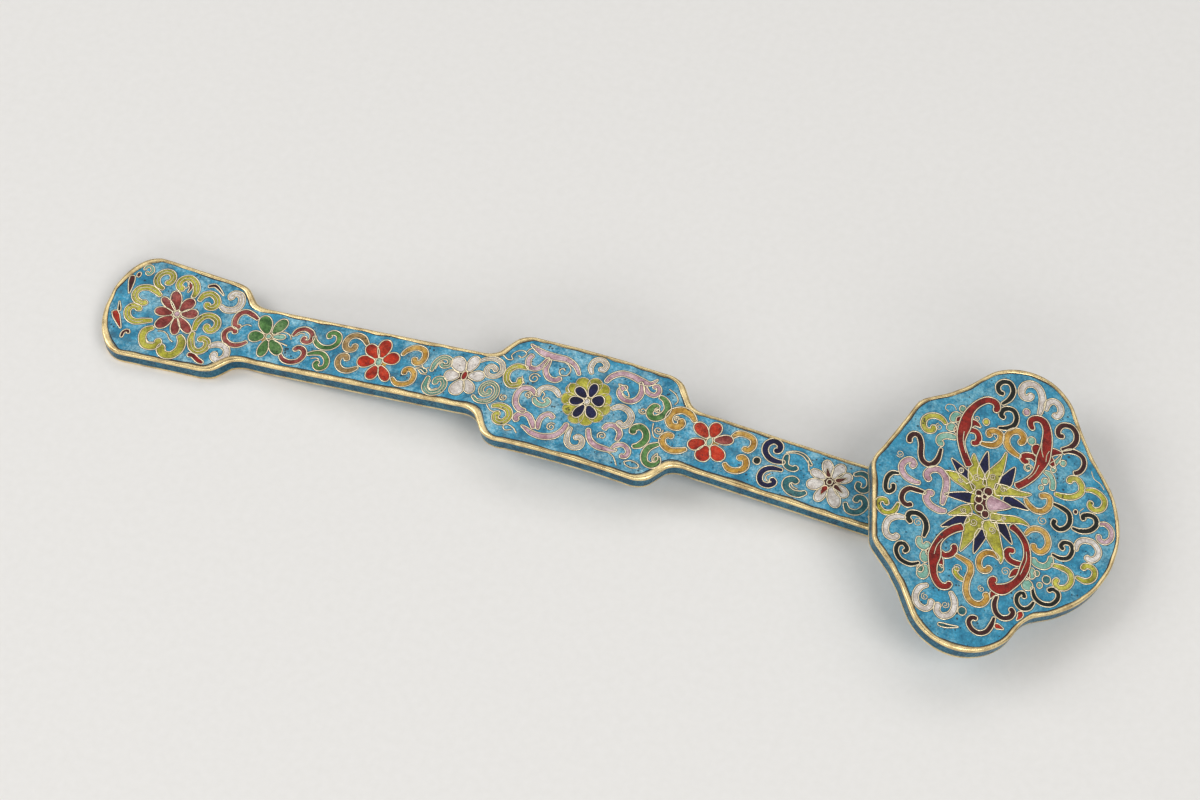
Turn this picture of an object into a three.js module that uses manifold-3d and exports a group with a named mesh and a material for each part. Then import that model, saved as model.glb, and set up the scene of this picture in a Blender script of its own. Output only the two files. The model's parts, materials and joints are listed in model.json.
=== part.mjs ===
// Cloisonne ruyi scepter. An S-curved handle and a cloud-shaped head, both hollow boxes of
// gilded copper sheet, carry enamel on every face. It lies on its back on z = 0, with +X from
// the rounded tail to the tip of the head and +Z up. All sizes are millimetres.
import * as THREE from "three";
import { mergeVertices } from "three/addons/utils/BufferGeometryUtils.js";
import Module from "manifold-3d";

const wasm = await Module();
wasm.setup();
const DEG = Math.PI / 180;

// Sheet, enamel and wire, the same on the handle and the head
const SHEET = 0.8; // copper of the plates and the walls
const WALL_HEIGHT = 3.0; // clear height between the two plates
const FACE_ENAMEL = 0.8; // coat on the front and the back
const WALL_ENAMEL = 0.6; // coat on the edges
const RIM_WIDTH = 1.2; // gilt rim round each face
const RIM_ROUND = 0.5; // worn outer corner of the rim
const RIM_PROUD = 0.2; // front rim above its enamel
const FENCE = 0.5; // cloison wire round a blossom
const SEAM = 0.1; // soldered or fired seam between two pieces

// Side profile of the handle, along its middle surface
const TAIL_FLAT_LENGTH = 40; // flat tail that lies on the table
const TAIL_BEND_LENGTH = 32; // arc of the bend after it
const RISE = 6.5 * DEG; // pitch of the upper shaft
const CROWN_LEAD_LENGTH = 5; // how far before the panel its crown begins
const CROWN_LENGTH = 48; // arc of the crown under the panel
const FALL = 6.3 * DEG; // pitch of the lower shaft
const NECK_RADIUS = 17.5; // bend that brings the neck up to the head
const HEAD_DROOP = 14 * DEG; // the head's face leans towards its tip

// Plan of the handle, as half widths
const TAIL_ROUND = 13; // depth of the rounded end
const TAIL_TIP_ANGLE = 12 * DEG; // where the small flat at the very end gives way to the round
const TAIL_HALF = 22;
const TAIL_ROOT_HALF = 20; // the tail narrows towards the shaft
const TAIL_LENGTH = 45; // from the end to the shoulder
const SHAFT_HALF = 11.8;
const PANEL_HALF = 22.5;
const PANEL_START = 163;
const PANEL_LENGTH = 54;
const SHOULDER = 14; // length of each S-shaped shoulder

// Cloud outline of the head, in its own plane: u runs to the tip and v across
const TIP_CENTRE_U = 8.4;
const TIP_RADIUS = 38.6;
const SIDE_CENTRE_U = 1;
const SIDE_CENTRE_V = 37;
const SIDE_RADIUS = 21;
const CORNER_CENTRE_U = -27.3;
const CORNER_CENTRE_V = 24.2;
const CORNER_RADIUS = 9.5;
const BASE_U = -44.4; // blunt point over the neck
const UPPER_TIP_FILLET = 95; // nearly straight run from the tip to the lobe at +v
const LOWER_TIP_FILLET = 14; // round hollow between the tip and the lobe at -v
const BASE_FILLET = 60; // shallow hollow between a side lobe and the base

// Joint of neck and head
const SEAT_U = -11; // where the neck stands on the head's back
const COLLAR_HEIGHT = 3;
const COLLAR_WALL = 1.8;
const FIT = 0.2; // clearance round the neck, the tongue and the collar
const NECK_LEAD = 2; // straight neck below the collar
const TONGUE_WIDTH = 12;
const TONGUE_THICK = 2.2;
const TONGUE_REACH = 14; // length inside the neck

// How finely curves are divided
const STATION_STEP = 12; // longest step between two sections of the handle
const CURVE_STEPS = 4; // sections in a shoulder, and half of those in the tail's round
const NECK_STEPS = 7;
const TONGUE_STEPS = 6;
const PETAL_STEPS = 4; // points on each petal
const LEAF_STEPS = 8;

// Colours of gilding, copper and enamels
const gilt = { color: 0xcaa45a, roughness: 0.32, metalness: 1 };
const copper = { color: 0xb4704a, roughness: 0.45, metalness: 1 };
const turquoise = { color: 0x2f8dc0, roughness: 0.3, metalness: 0 };
const maroon = { color: 0x9a4048, roughness: 0.3, metalness: 0 };
const green = { color: 0x3f7d3c, roughness: 0.3, metalness: 0 };
const vermilion = { color: 0xcf3424, roughness: 0.3, metalness: 0 };
const white = { color: 0xdcd5cc, roughness: 0.3, metalness: 0 };
const lime = { color: 0xa9b53a, roughness: 0.3, metalness: 0 };
const navy = { color: 0x1d1d58, roughness: 0.3, metalness: 0 };
const leafRed = { color: 0xa82a22, roughness: 0.3, metalness: 0 };
const russet = { color: 0x6e2620, roughness: 0.3, metalness: 0 };

// Lotus and its four leaves on the head
const lotus = { s: -2, v: 0.3, radius: 14, waist: 7.6, petals: 8, enamel: lime };
const lotusHeart = { s: -2, v: 0.3, radius: 4.6, waist: 3.8, petals: 8, enamel: russet };
const LEAF_HALF = 2; // half width of a leaf at its broadest
const LEAF_END = 0.9; // half width at its ends
const leaves = [
  { name: "leaf_upper_base", u: -7, v: 26.8, radius: 11.5, from: 245, to: 95 },
  { name: "leaf_upper_tip", u: 2, v: 26.8, radius: 11, from: -60, to: 85 },
  { name: "leaf_lower_base", u: -4, v: -26.2, radius: 10.5, from: 125, to: 260 },
  { name: "leaf_lower_tip", u: 10, v: -18.2, radius: 9.5, from: 55, to: -100 },
];

// Layers of both boxes, measured from the middle surface
const HALF_CAVITY = WALL_HEIGHT / 2;
const PLATE_IN = HALF_CAVITY + SEAM;
const PLATE_OUT = PLATE_IN + SHEET;
const COAT_IN = PLATE_OUT + SEAM;
const FACE = COAT_IN + FACE_ENAMEL;
const RIM_TOP = FACE + RIM_PROUD;

// Height gained along an arc of the profile, from one pitch to another
function arcRise(length, from, to) {
  return (length / (to - from)) * (Math.cos(from) - Math.cos(to));
}

// The upper shaft runs up to the crown. The lower one is as long as it takes to bring the neck's
// underside back to the table.
const UPPER_RUN = PANEL_START - CROWN_LEAD_LENGTH - TAIL_FLAT_LENGTH - TAIL_BEND_LENGTH;
const tailRise = arcRise(TAIL_BEND_LENGTH, 0, RISE);
const crownHeight = tailRise + UPPER_RUN * Math.sin(RISE) + arcRise(CROWN_LENGTH, RISE, -FALL);
const neckDip = NECK_RADIUS * (1 - Math.cos(FALL));
const LOWER_RUN = (crownHeight - neckDip) / Math.sin(FALL);
const NECK_TURN = FALL + Math.PI / 2 - HEAD_DROOP;
const NECK_RUN = COLLAR_HEIGHT + NECK_LEAD;
const profile = [
  { length: TAIL_FLAT_LENGTH, turn: 0 },
  { length: TAIL_BEND_LENGTH, turn: RISE },
  { length: UPPER_RUN, turn: 0 },
  { length: CROWN_LENGTH, turn: -RISE - FALL },
  { length: LOWER_RUN, turn: 0 },
  { length: NECK_RADIUS * NECK_TURN, turn: NECK_TURN },
  { length: NECK_RUN, turn: 0 },
];
const HANDLE_LENGTH = profile.reduce((sum, part) => sum + part.length, 0);
const NECK_START = HANDLE_LENGTH - NECK_RUN - NECK_RADIUS * NECK_TURN;

// Blossoms along the handle: place on its face, size, petals and enamel
const PANEL_END = PANEL_START + PANEL_LENGTH;
const PANEL_MIDDLE = PANEL_START + PANEL_LENGTH / 2;
const blossoms = [
  { name: "tail", s: TAIL_LENGTH - 18, v: 0, radius: 8.8, waist: 6.2, petals: 8, enamel: maroon },
  { name: "green", s: TAIL_LENGTH + 19.5, v: 0.5, radius: 8.2, waist: 4.2, petals: 6, enamel: green },
  { name: "upper_red", s: PANEL_START - 53, v: 0, radius: 8.4, waist: 4.6, petals: 6, enamel: vermilion },
  { name: "upper_white", s: PANEL_START - 20, v: 0.5, radius: 7.8, waist: 4.2, petals: 6, enamel: white },
  { name: "lower_red", s: PANEL_END + 20, v: 0.8, radius: 7.8, waist: 4.6, petals: 6, enamel: vermilion },
  { name: "lower_white", s: NECK_START - 28.5, v: 0.6, radius: 8.2, waist: 5.2, petals: 8, enamel: white },
];
const panelFlower = { s: PANEL_MIDDLE, v: 0.8, radius: 10.4, waist: 9, petals: 10, enamel: lime };
const panelHeart = { s: PANEL_MIDDLE, v: 0.8, radius: 6.6, waist: 3.6, petals: 6, enamel: navy };

// Place and pitch of the middle surface at a distance s from the tail's end
function profileAt(s) {
  let x = 0;
  let z = FACE;
  let pitch = 0;
  let left = s;
  profile.forEach(({ length, turn }, i) => {
    const step = i === profile.length - 1 ? left : Math.min(left, length);
    const end = pitch + (turn * step) / length;
    if (turn === 0) {
      x += step * Math.cos(pitch);
      z += step * Math.sin(pitch);
    } else {
      x += (length / turn) * (Math.sin(end) - Math.sin(pitch));
      z += (length / turn) * (Math.cos(pitch) - Math.cos(end));
    }
    pitch = end;
    left -= step;
  });
  return { x, z, pitch };
}

// A point of the handle: s along it, v across it and n out of its middle surface
function onHandle(s, v, n) {
  const { x, z, pitch } = profileAt(s);
  return new THREE.Vector3(x - n * Math.sin(pitch), v, z + n * Math.cos(pitch));
}

// A point of the head, in the head's own flat frame
function onHead(u, v, n) {
  return new THREE.Vector3(u, v, n);
}

// Solid through a row of sections with equal point counts, capped at its ends or closed to a ring
function loft(sections, closed = false) {
  const count = sections[0].length;
  const rows = sections.length;
  const positions = sections.flat().flatMap((p) => [p.x, p.y, p.z]);
  const faces = [];
  for (let i = 0; i < (closed ? rows : rows - 1); i++) {
    const a = i * count;
    const b = ((i + 1) % rows) * count;
    for (let k = 0; k < count; k++) {
      const m = (k + 1) % count;
      faces.push(a + k, b + k, b + m, a + k, b + m, a + m);
    }
  }
  if (!closed) {
    const end = (rows - 1) * count;
    for (let k = 1; k < count - 1; k++) {
      faces.push(0, k, k + 1, end, end + k + 1, end + k);
    }
  }
  return facingOut(positions, faces);
}

// Solid between two levels over a star-shaped outline, fanned from its centre
function prism(place, centre, outline, low, high) {
  const count = outline.length;
  const ring = (n) => outline.map(([a, b]) => place(a, b, n));
  const points = [...ring(low), ...ring(high), place(...centre, low), place(...centre, high)];
  const faces = [];
  for (let k = 0; k < count; k++) {
    const m = (k + 1) % count;
    faces.push(k, m, count + m, k, count + m, count + k);
    faces.push(2 * count, m, k, 2 * count + 1, count + k, count + m);
  }
  return facingOut(points.flatMap((p) => [p.x, p.y, p.z]), faces);
}

// Indexed geometry whose faces point out
function facingOut(positions, faces) {
  const p = (i) => new THREE.Vector3().fromArray(positions, 3 * i);
  let volume = 0;
  for (let i = 0; i < faces.length; i += 3) {
    volume += p(faces[i]).dot(p(faces[i + 1]).cross(p(faces[i + 2])));
  }
  if (volume < 0) {
    faces.reverse();
  }
  const geometry = new THREE.BufferGeometry();
  geometry.setAttribute("position", new THREE.Float32BufferAttribute(positions, 3));
  geometry.setIndex(faces);
  geometry.computeVertexNormals();
  return geometry;
}

// Closed solids for subtraction, and back to geometry
function toManifold(geometry) {
  const bare = new THREE.BufferGeometry();
  bare.setAttribute("position", geometry.getAttribute("position"));
  bare.setIndex(geometry.index);
  const merged = mergeVertices(bare, 1e-4);
  const vertProperties = new Float32Array(merged.getAttribute("position").array);
  const triVerts = new Uint32Array(merged.index.array);
  return new wasm.Manifold(new wasm.Mesh({ numProp: 3, vertProperties, triVerts }));
}

function subtract(geometry, cutters) {
  const cut = cutters.reduce((solid, c) => solid.subtract(toManifold(c)), toManifold(geometry));
  const { vertProperties, triVerts } = cut.getMesh();
  const result = new THREE.BufferGeometry();
  result.setAttribute("position", new THREE.Float32BufferAttribute(vertProperties, 3));
  result.setIndex(new THREE.Uint32BufferAttribute(triVerts, 1));
  result.computeVertexNormals();
  return result;
}

// One side of the handle's plan, from the tail's end to the neck, as [s, half width]
function handlePlan() {
  const path = new THREE.Path();
  path.absellipse(TAIL_ROUND, 0, TAIL_ROUND, TAIL_HALF, Math.PI - TAIL_TIP_ANGLE, Math.PI / 2, true);
  path.lineTo(TAIL_LENGTH, TAIL_ROOT_HALF);
  shoulder(path, TAIL_LENGTH, TAIL_ROOT_HALF, SHAFT_HALF);
  path.lineTo(PANEL_START - SHOULDER, SHAFT_HALF);
  shoulder(path, PANEL_START - SHOULDER, SHAFT_HALF, PANEL_HALF);
  path.lineTo(PANEL_END, PANEL_HALF);
  shoulder(path, PANEL_END, PANEL_HALF, SHAFT_HALF);
  path.lineTo(NECK_START, SHAFT_HALF);
  for (let k = 1; k <= NECK_STEPS; k++) {
    path.lineTo(NECK_START + (k / NECK_STEPS) * NECK_RADIUS * NECK_TURN, SHAFT_HALF);
  }
  path.lineTo(HANDLE_LENGTH, SHAFT_HALF);
  return withStations(path.getPoints(CURVE_STEPS));
}

// S-shaped change of width
function shoulder(path, start, from, to) {
  const pull = SHOULDER * 0.5;
  path.bezierCurveTo(start + pull, from, start + SHOULDER - pull, to, start + SHOULDER, to);
}

// The same points with extra ones where two lie far apart
function withStations(points) {
  const dense = [points[0]];
  for (let i = 1; i < points.length; i++) {
    const steps = Math.ceil(points[i].distanceTo(points[i - 1]) / STATION_STEP);
    for (let k = 1; k <= steps; k++) {
      dense.push(points[i - 1].clone().lerp(points[i], k / steps));
    }
  }
  return dense;
}

const plan = handlePlan();

// The plan moved inwards by d, point by point along its own normals
function rail(d) {
  return plan.map((point, i) => {
    const before = i === 0 ? new THREE.Vector2(point.x, -point.y) : plan[i - 1];
    const after = i === plan.length - 1 ? point : plan[i + 1];
    const into = point.clone().sub(before).normalize();
    const out = i === plan.length - 1 ? into : after.clone().sub(point).normalize();
    const side = new THREE.Vector2(into.y, -into.x);
    const mitre = new THREE.Vector2(into.y + out.y, -into.x - out.x).normalize();
    const moved = point.clone().addScaledVector(mitre, d / mitre.dot(side));
    return [moved.x, moved.y];
  });
}

// Handle plate or coat: the full plan inset by d, between two levels
function handleSlab(d, low, high) {
  const sections = rail(d).map(([s, w]) => [
    onHandle(s, -w, low),
    onHandle(s, w, low),
    onHandle(s, w, high),
    onHandle(s, -w, high),
  ]);
  return loft(sections);
}

// Strip along one side of the handle, from the middle of the tail's end to the neck
function handleStrip(side, near, far, low, high) {
  const outer = rail(near);
  const inner = rail(far);
  const corners = (a, b) => [
    onHandle(a[0], side * a[1], low),
    onHandle(a[0], side * a[1], high),
    onHandle(b[0], side * b[1], high),
    onHandle(b[0], side * b[1], low),
  ];
  const start = corners([outer[0][0], SEAM / 2], [inner[0][0], SEAM / 2]);
  return loft([start, ...outer.map((a, i) => corners(a, inner[i]))]);
}

// Rim section: distance in from the outline and level, with its outer corner rounded over
function rimSection(top, sign) {
  return [
    [0, sign * COAT_IN],
    [0, sign * (top - RIM_ROUND)],
    [RIM_ROUND, sign * top],
    [RIM_WIDTH, sign * top],
    [RIM_WIDTH, sign * COAT_IN],
  ];
}

// Rim that runs up one edge of the handle, round the tail and back down the other edge
function handleRim(section) {
  const rails = section.map(([d, n]) => ({ line: rail(d), n }));
  const along = (side) => plan.map((_, i) =>
    rails.map(({ line, n }) => onHandle(line[i][0], side * line[i][1], n)));
  return loft([...along(-1).reverse(), ...along(1)]);
}

// Head outline inset by d, from the tip round one side, the base and the other side
function headOutline(d) {
  const upper = halfHead(d, UPPER_TIP_FILLET);
  const lower = halfHead(d, LOWER_TIP_FILLET).slice(1, -1);
  return [...upper, ...lower.reverse().map(([u, v]) => [u, -v])];
}

// Half of the head's outline, from the tip to the base
function halfHead(d, tipFillet) {
  const tip = new THREE.Vector2(TIP_CENTRE_U, 0);
  const side = new THREE.Vector2(SIDE_CENTRE_U, SIDE_CENTRE_V);
  const corner = new THREE.Vector2(CORNER_CENTRE_U, CORNER_CENTRE_V);
  const tipHollow = hollowCentre(tip, TIP_RADIUS, side, SIDE_RADIUS, tipFillet);
  const baseHollow = hollowCentre(side, SIDE_RADIUS, corner, CORNER_RADIUS, BASE_FILLET);
  const heading = (from, to) => Math.atan2(to.y - from.y, to.x - from.x);
  const point = new THREE.Vector2(BASE_U, 0);
  const reach = point.distanceTo(corner);
  const baseSlope = heading(point, corner) + Math.asin(CORNER_RADIUS / reach);
  return [
    ...arc(tip, TIP_RADIUS - d, 0, heading(tip, tipHollow), 7),
    ...arc(tipHollow, tipFillet + d, heading(tipHollow, tip), heading(tipHollow, side), 4),
    ...arc(side, SIDE_RADIUS - d, heading(side, tipHollow), heading(side, baseHollow), 10),
    ...arc(baseHollow, BASE_FILLET + d, heading(baseHollow, side), heading(baseHollow, corner), 3),
    ...arc(corner, CORNER_RADIUS - d, heading(corner, baseHollow), baseSlope + Math.PI / 2, 4),
    [BASE_U + d / Math.sin(baseSlope), 0],
  ];
}

// Centre of the hollow circle that touches two lobes from outside
function hollowCentre(a, ra, b, rb, r) {
  const gap = a.distanceTo(b);
  const along = (gap * gap + (ra + r) ** 2 - (rb + r) ** 2) / (2 * gap);
  const aside = Math.sqrt((ra + r) ** 2 - along ** 2);
  const dir = b.clone().sub(a).divideScalar(gap);
  return new THREE.Vector2(
    a.x + dir.x * along + dir.y * aside,
    a.y + dir.y * along - dir.x * aside,
  );
}

// Points of an arc, the shorter way round, without its last point
function arc(centre, radius, from, to, steps) {
  const turn = Math.atan2(Math.sin(to - from), Math.cos(to - from));
  const points = [];
  for (let k = 0; k < steps; k++) {
    const angle = from + (turn * k) / steps;
    points.push([centre.x + radius * Math.cos(angle), centre.y + radius * Math.sin(angle)]);
  }
  return points;
}

// Band all round the head with the given section
function headBand(section) {
  const rings = section.map(([d, n]) => ({ line: headOutline(d), n }));
  const sections = rings[0].line.map((_, i) =>
    rings.map(({ line, n }) => onHead(line[i][0], line[i][1], n)));
  return loft(sections, true);
}

// Flat plate or coat of the head, with holes, between two levels
function headSlab(outline, holes, low, high) {
  const shape = new THREE.Shape(outline.map(([u, v]) => new THREE.Vector2(u, v)));
  shape.holes = holes.map((hole) => new THREE.Path(hole.map(([u, v]) => new THREE.Vector2(u, v))));
  const slab = new THREE.ExtrudeGeometry(shape, { depth: high - low, bevelEnabled: false });
  return slab.translate(0, 0, low);
}

function rectangle(u0, u1, v0, v1) {
  return [[u0, v0], [u1, v0], [u1, v1], [u0, v1]];
}

// Petalled outline of a blossom, grown outwards by a margin
function rosette({ s, v, radius, waist, petals }, grow) {
  const count = petals * PETAL_STEPS;
  const points = [];
  for (let k = 0; k < count; k++) {
    const angle = (2 * Math.PI * k) / count;
    const swell = Math.sqrt(Math.abs(Math.cos((petals * angle) / 2)));
    const r = waist + (radius - waist) * swell + grow;
    points.push([s + r * Math.cos(angle), v + r * Math.sin(angle)]);
  }
  return points;
}

// Leaf outline: a band along an arc that narrows to both ends, grown outwards by a margin
function leafOutline({ u, v, radius, from, to }, grow) {
  const turn = Math.sign(to - from);
  const extra = (grow / radius) * turn;
  const outer = [];
  const inner = [];
  for (let k = 0; k <= LEAF_STEPS; k++) {
    const t = k / LEAF_STEPS;
    const angle = from * DEG - extra + ((to - from) * DEG + 2 * extra) * t;
    const half = LEAF_END + (LEAF_HALF - LEAF_END) * Math.sin(Math.PI * t) + grow;
    outer.push([u + (radius + half) * Math.cos(angle), v + (radius + half) * Math.sin(angle)]);
    inner.push([u + (radius - half) * Math.cos(angle), v + (radius - half) * Math.sin(angle)]);
  }
  return [...outer, ...inner.reverse()];
}

// Cloison wire between an outline and the same outline inset by the wire's thickness
function fence(place, outline, low, high) {
  const outer = outline(0);
  const inner = outline(-FENCE);
  const sections = outer.map((a, i) => [
    place(...a, low),
    place(...a, high),
    place(...inner[i], high),
    place(...inner[i], low),
  ]);
  return loft(sections, true);
}

const handle = new THREE.Group();
const head = new THREE.Group();
const scepter = new THREE.Group();
scepter.name = "ruyi_scepter";

function add(group, name, geometry, finish) {
  const mesh = new THREE.Mesh(geometry, new THREE.MeshStandardMaterial(finish));
  mesh.name = name;
  group.add(mesh);
}

// Handle box: two plates with a wall strip on each side, enamel outside, and gilt rims
const WALL_NEAR = WALL_ENAMEL + SEAM;
const COAT_INSET = RIM_WIDTH + SEAM;
add(handle, "handle_front_plate", handleSlab(0, PLATE_IN, PLATE_OUT), copper);
add(handle, "handle_back_plate", handleSlab(0, -PLATE_OUT, -PLATE_IN), copper);
for (const [word, side] of [["left", 1], ["right", -1]]) {
  const wall = handleStrip(side, WALL_NEAR, WALL_NEAR + SHEET, -HALF_CAVITY, HALF_CAVITY);
  const coat = handleStrip(side, 0, WALL_ENAMEL, -HALF_CAVITY, HALF_CAVITY);
  add(handle, "handle_wall_" + word, wall, copper);
  add(handle, "handle_wall_enamel_" + word, coat, turquoise);
}
add(handle, "handle_front_rim", handleRim(rimSection(RIM_TOP, 1)), gilt);
add(handle, "handle_back_rim", handleRim(rimSection(FACE, -1)), gilt);
add(handle, "handle_back_enamel", handleSlab(COAT_INSET, -FACE, -COAT_IN), turquoise);

// Blossoms stand on the front plate in openings of the turquoise ground
const grounds = [...blossoms, panelFlower];
const openings = grounds.map((flower) =>
  prism(onHandle, [flower.s, flower.v], rosette(flower, SEAM), PLATE_IN, RIM_TOP));
const ground = handleSlab(COAT_INSET, COAT_IN, FACE);
add(handle, "handle_front_enamel", subtract(ground, openings), turquoise);
for (const flower of blossoms) {
  const petals = rosette(flower, -FENCE - SEAM);
  const outline = (grow) => rosette(flower, grow);
  const body = prism(onHandle, [flower.s, flower.v], petals, COAT_IN, FACE);
  add(handle, flower.name + "_blossom_wire", fence(onHandle, outline, COAT_IN, FACE), gilt);
  add(handle, flower.name + "_blossom_petals", body, flower.enamel);
}

// Panel flower: a scalloped lime flower round a navy heart
const panelOutline = (grow) => rosette(panelFlower, grow);
const heartOutline = (grow) => rosette(panelHeart, grow);
const heartPlace = [panelHeart.s, panelHeart.v];
const heartOpening = prism(onHandle, heartPlace, heartOutline(SEAM), PLATE_IN, RIM_TOP);
const flowerBody = prism(onHandle, heartPlace, panelOutline(-FENCE - SEAM), COAT_IN, FACE);
const heartBody = prism(onHandle, heartPlace, heartOutline(-FENCE - SEAM), COAT_IN, FACE);
add(handle, "panel_flower_wire", fence(onHandle, panelOutline, COAT_IN, FACE), gilt);
add(handle, "panel_flower_petals", subtract(flowerBody, [heartOpening]), panelFlower.enamel);
add(handle, "panel_heart_wire", fence(onHandle, heartOutline, COAT_IN, FACE), gilt);
add(handle, "panel_heart_petals", heartBody, panelHeart.enamel);

// Tongue inside the neck, which passes through the head's back plate
const neckEnd = HANDLE_LENGTH + SEAM;
const tongueEnd = neckEnd + SHEET + SEAM + WALL_HEIGHT - FIT;
const tongueRows = [];
for (let k = 0; k <= TONGUE_STEPS; k++) {
  const from = HANDLE_LENGTH - TONGUE_REACH;
  const s = from + ((tongueEnd - from) * k) / TONGUE_STEPS;
  tongueRows.push([
    onHandle(s, -TONGUE_WIDTH / 2, -TONGUE_THICK / 2),
    onHandle(s, TONGUE_WIDTH / 2, -TONGUE_THICK / 2),
    onHandle(s, TONGUE_WIDTH / 2, TONGUE_THICK / 2),
    onHandle(s, -TONGUE_WIDTH / 2, TONGUE_THICK / 2),
  ]);
}
add(handle, "neck_tongue", loft(tongueRows), copper);

// Head box: the neck stands on its back plate inside a gilt collar
const outline = headOutline(0);
const coatOutline = headOutline(COAT_INSET);
const neckHole = rectangle(
  SEAT_U - RIM_TOP - FIT,
  SEAT_U + FACE + FIT,
  -SHAFT_HALF - FIT,
  SHAFT_HALF + FIT,
);
const grown = (box, d) => box.map(([u, v]) => [u + d * Math.sign(u - SEAT_U), v + d * Math.sign(v)]);
const collarOuter = grown(neckHole, COLLAR_WALL);
const tongueSlot = rectangle(
  SEAT_U - TONGUE_THICK / 2 - FIT,
  SEAT_U + TONGUE_THICK / 2 + FIT,
  -TONGUE_WIDTH / 2 - FIT,
  TONGUE_WIDTH / 2 + FIT,
);
const wallSection = [
  [WALL_NEAR, -HALF_CAVITY],
  [WALL_NEAR, HALF_CAVITY],
  [WALL_NEAR + SHEET, HALF_CAVITY],
  [WALL_NEAR + SHEET, -HALF_CAVITY],
];
const wallCoatSection = [
  [0, -HALF_CAVITY],
  [0, HALF_CAVITY],
  [WALL_ENAMEL, HALF_CAVITY],
  [WALL_ENAMEL, -HALF_CAVITY],
];
add(head, "head_front_plate", headSlab(outline, [], PLATE_IN, PLATE_OUT), copper);
add(head, "head_back_plate", headSlab(outline, [tongueSlot], -PLATE_OUT, -PLATE_IN), copper);
add(head, "head_wall", headBand(wallSection), copper);
add(head, "head_wall_enamel", headBand(wallCoatSection), turquoise);
add(head, "head_front_rim", headBand(rimSection(RIM_TOP, 1)), gilt);
add(head, "head_back_rim", headBand(rimSection(FACE, -1)), gilt);
const backHole = grown(collarOuter, FIT);
add(head, "head_back_enamel", headSlab(coatOutline, [backHole], -FACE, -COAT_IN), turquoise);
const collarLow = -COAT_IN - COLLAR_HEIGHT;
add(head, "neck_collar", headSlab(collarOuter, [neckHole], collarLow, -COAT_IN), gilt);

// Lotus with a petalled heart, and four curling leaves round it
const motifs = [rosette(lotus, SEAM), ...leaves.map((leaf) => leafOutline(leaf, SEAM))];
add(head, "head_front_enamel", headSlab(coatOutline, motifs, COAT_IN, FACE), turquoise);
const lotusOutline = (grow) => rosette(lotus, grow);
const lotusHeartOutline = (grow) => rosette(lotusHeart, grow);
const lotusInside = lotusOutline(-FENCE - SEAM);
const lotusBody = headSlab(lotusInside, [lotusHeartOutline(SEAM)], COAT_IN, FACE);
const lotusHeartBody = headSlab(lotusHeartOutline(-FENCE - SEAM), [], COAT_IN, FACE);
add(head, "lotus_wire", fence(onHead, lotusOutline, COAT_IN, FACE), gilt);
add(head, "lotus_petals", lotusBody, lotus.enamel);
add(head, "lotus_heart_wire", fence(onHead, lotusHeartOutline, COAT_IN, FACE), gilt);
add(head, "lotus_heart_petals", lotusHeartBody, lotusHeart.enamel);
for (const leaf of leaves) {
  const leafEdge = (grow) => leafOutline(leaf, grow);
  const body = headSlab(leafEdge(-FENCE - SEAM), [], COAT_IN, FACE);
  add(head, leaf.name + "_wire", fence(onHead, leafEdge, COAT_IN, FACE), gilt);
  add(head, leaf.name + "_enamel", body, leafRed);
}

// The head stands square on the end of the neck and droops with it
const seat = profileAt(neckEnd + PLATE_OUT);
head.rotation.y = HEAD_DROOP;
head.position.set(
  seat.x - SEAT_U * Math.cos(HEAD_DROOP),
  0,
  seat.z + SEAT_U * Math.sin(HEAD_DROOP),
);

// The origin lies at the bottom centre of the whole scepter
const body = new THREE.Group();
body.add(handle, head);
scepter.add(body);
scepter.updateMatrixWorld(true);
const bounds = new THREE.Box3().setFromObject(scepter, true);
const centre = bounds.getCenter(new THREE.Vector3());
body.position.set(-centre.x, -centre.y, -bounds.min.z);

export default scepter;
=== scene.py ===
import json
import math

import bpy
from mathutils import Matrix, Vector, noise


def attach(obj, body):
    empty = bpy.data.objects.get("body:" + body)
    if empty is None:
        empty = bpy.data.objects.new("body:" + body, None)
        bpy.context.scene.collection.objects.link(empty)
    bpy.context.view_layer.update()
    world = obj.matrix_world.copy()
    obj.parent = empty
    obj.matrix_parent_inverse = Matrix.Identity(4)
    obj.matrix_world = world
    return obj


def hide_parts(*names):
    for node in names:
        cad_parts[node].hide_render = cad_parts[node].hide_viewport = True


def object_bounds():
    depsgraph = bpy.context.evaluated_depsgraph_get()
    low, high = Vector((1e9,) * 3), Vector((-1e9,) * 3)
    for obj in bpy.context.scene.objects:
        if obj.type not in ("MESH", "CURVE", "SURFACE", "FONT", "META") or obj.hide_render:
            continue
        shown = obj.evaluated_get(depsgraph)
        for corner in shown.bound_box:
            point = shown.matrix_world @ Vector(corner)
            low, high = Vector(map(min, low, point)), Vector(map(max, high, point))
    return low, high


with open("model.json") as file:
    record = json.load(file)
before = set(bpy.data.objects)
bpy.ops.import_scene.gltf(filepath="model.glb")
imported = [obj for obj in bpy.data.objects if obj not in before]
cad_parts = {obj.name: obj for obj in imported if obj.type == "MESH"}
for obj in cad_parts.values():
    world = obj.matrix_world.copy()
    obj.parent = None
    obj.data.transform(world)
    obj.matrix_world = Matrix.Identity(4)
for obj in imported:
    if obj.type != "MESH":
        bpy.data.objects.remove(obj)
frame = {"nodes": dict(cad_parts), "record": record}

cad_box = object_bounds()
scene = bpy.context.scene
MM = 0.001

# Camera of the photograph: place, aim and roll in the scepter's own frame
CAMERA_PLACE = Vector((259.5, -612.4, 1054.6)) * MM
CAMERA_AIM = Vector((-0.9, 8.1, 12.0)) * MM
CAMERA_ROLL = math.radians(-4.55)
CAMERA_LENS = 102.0
SENSOR_WIDTH = 36.0

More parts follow.
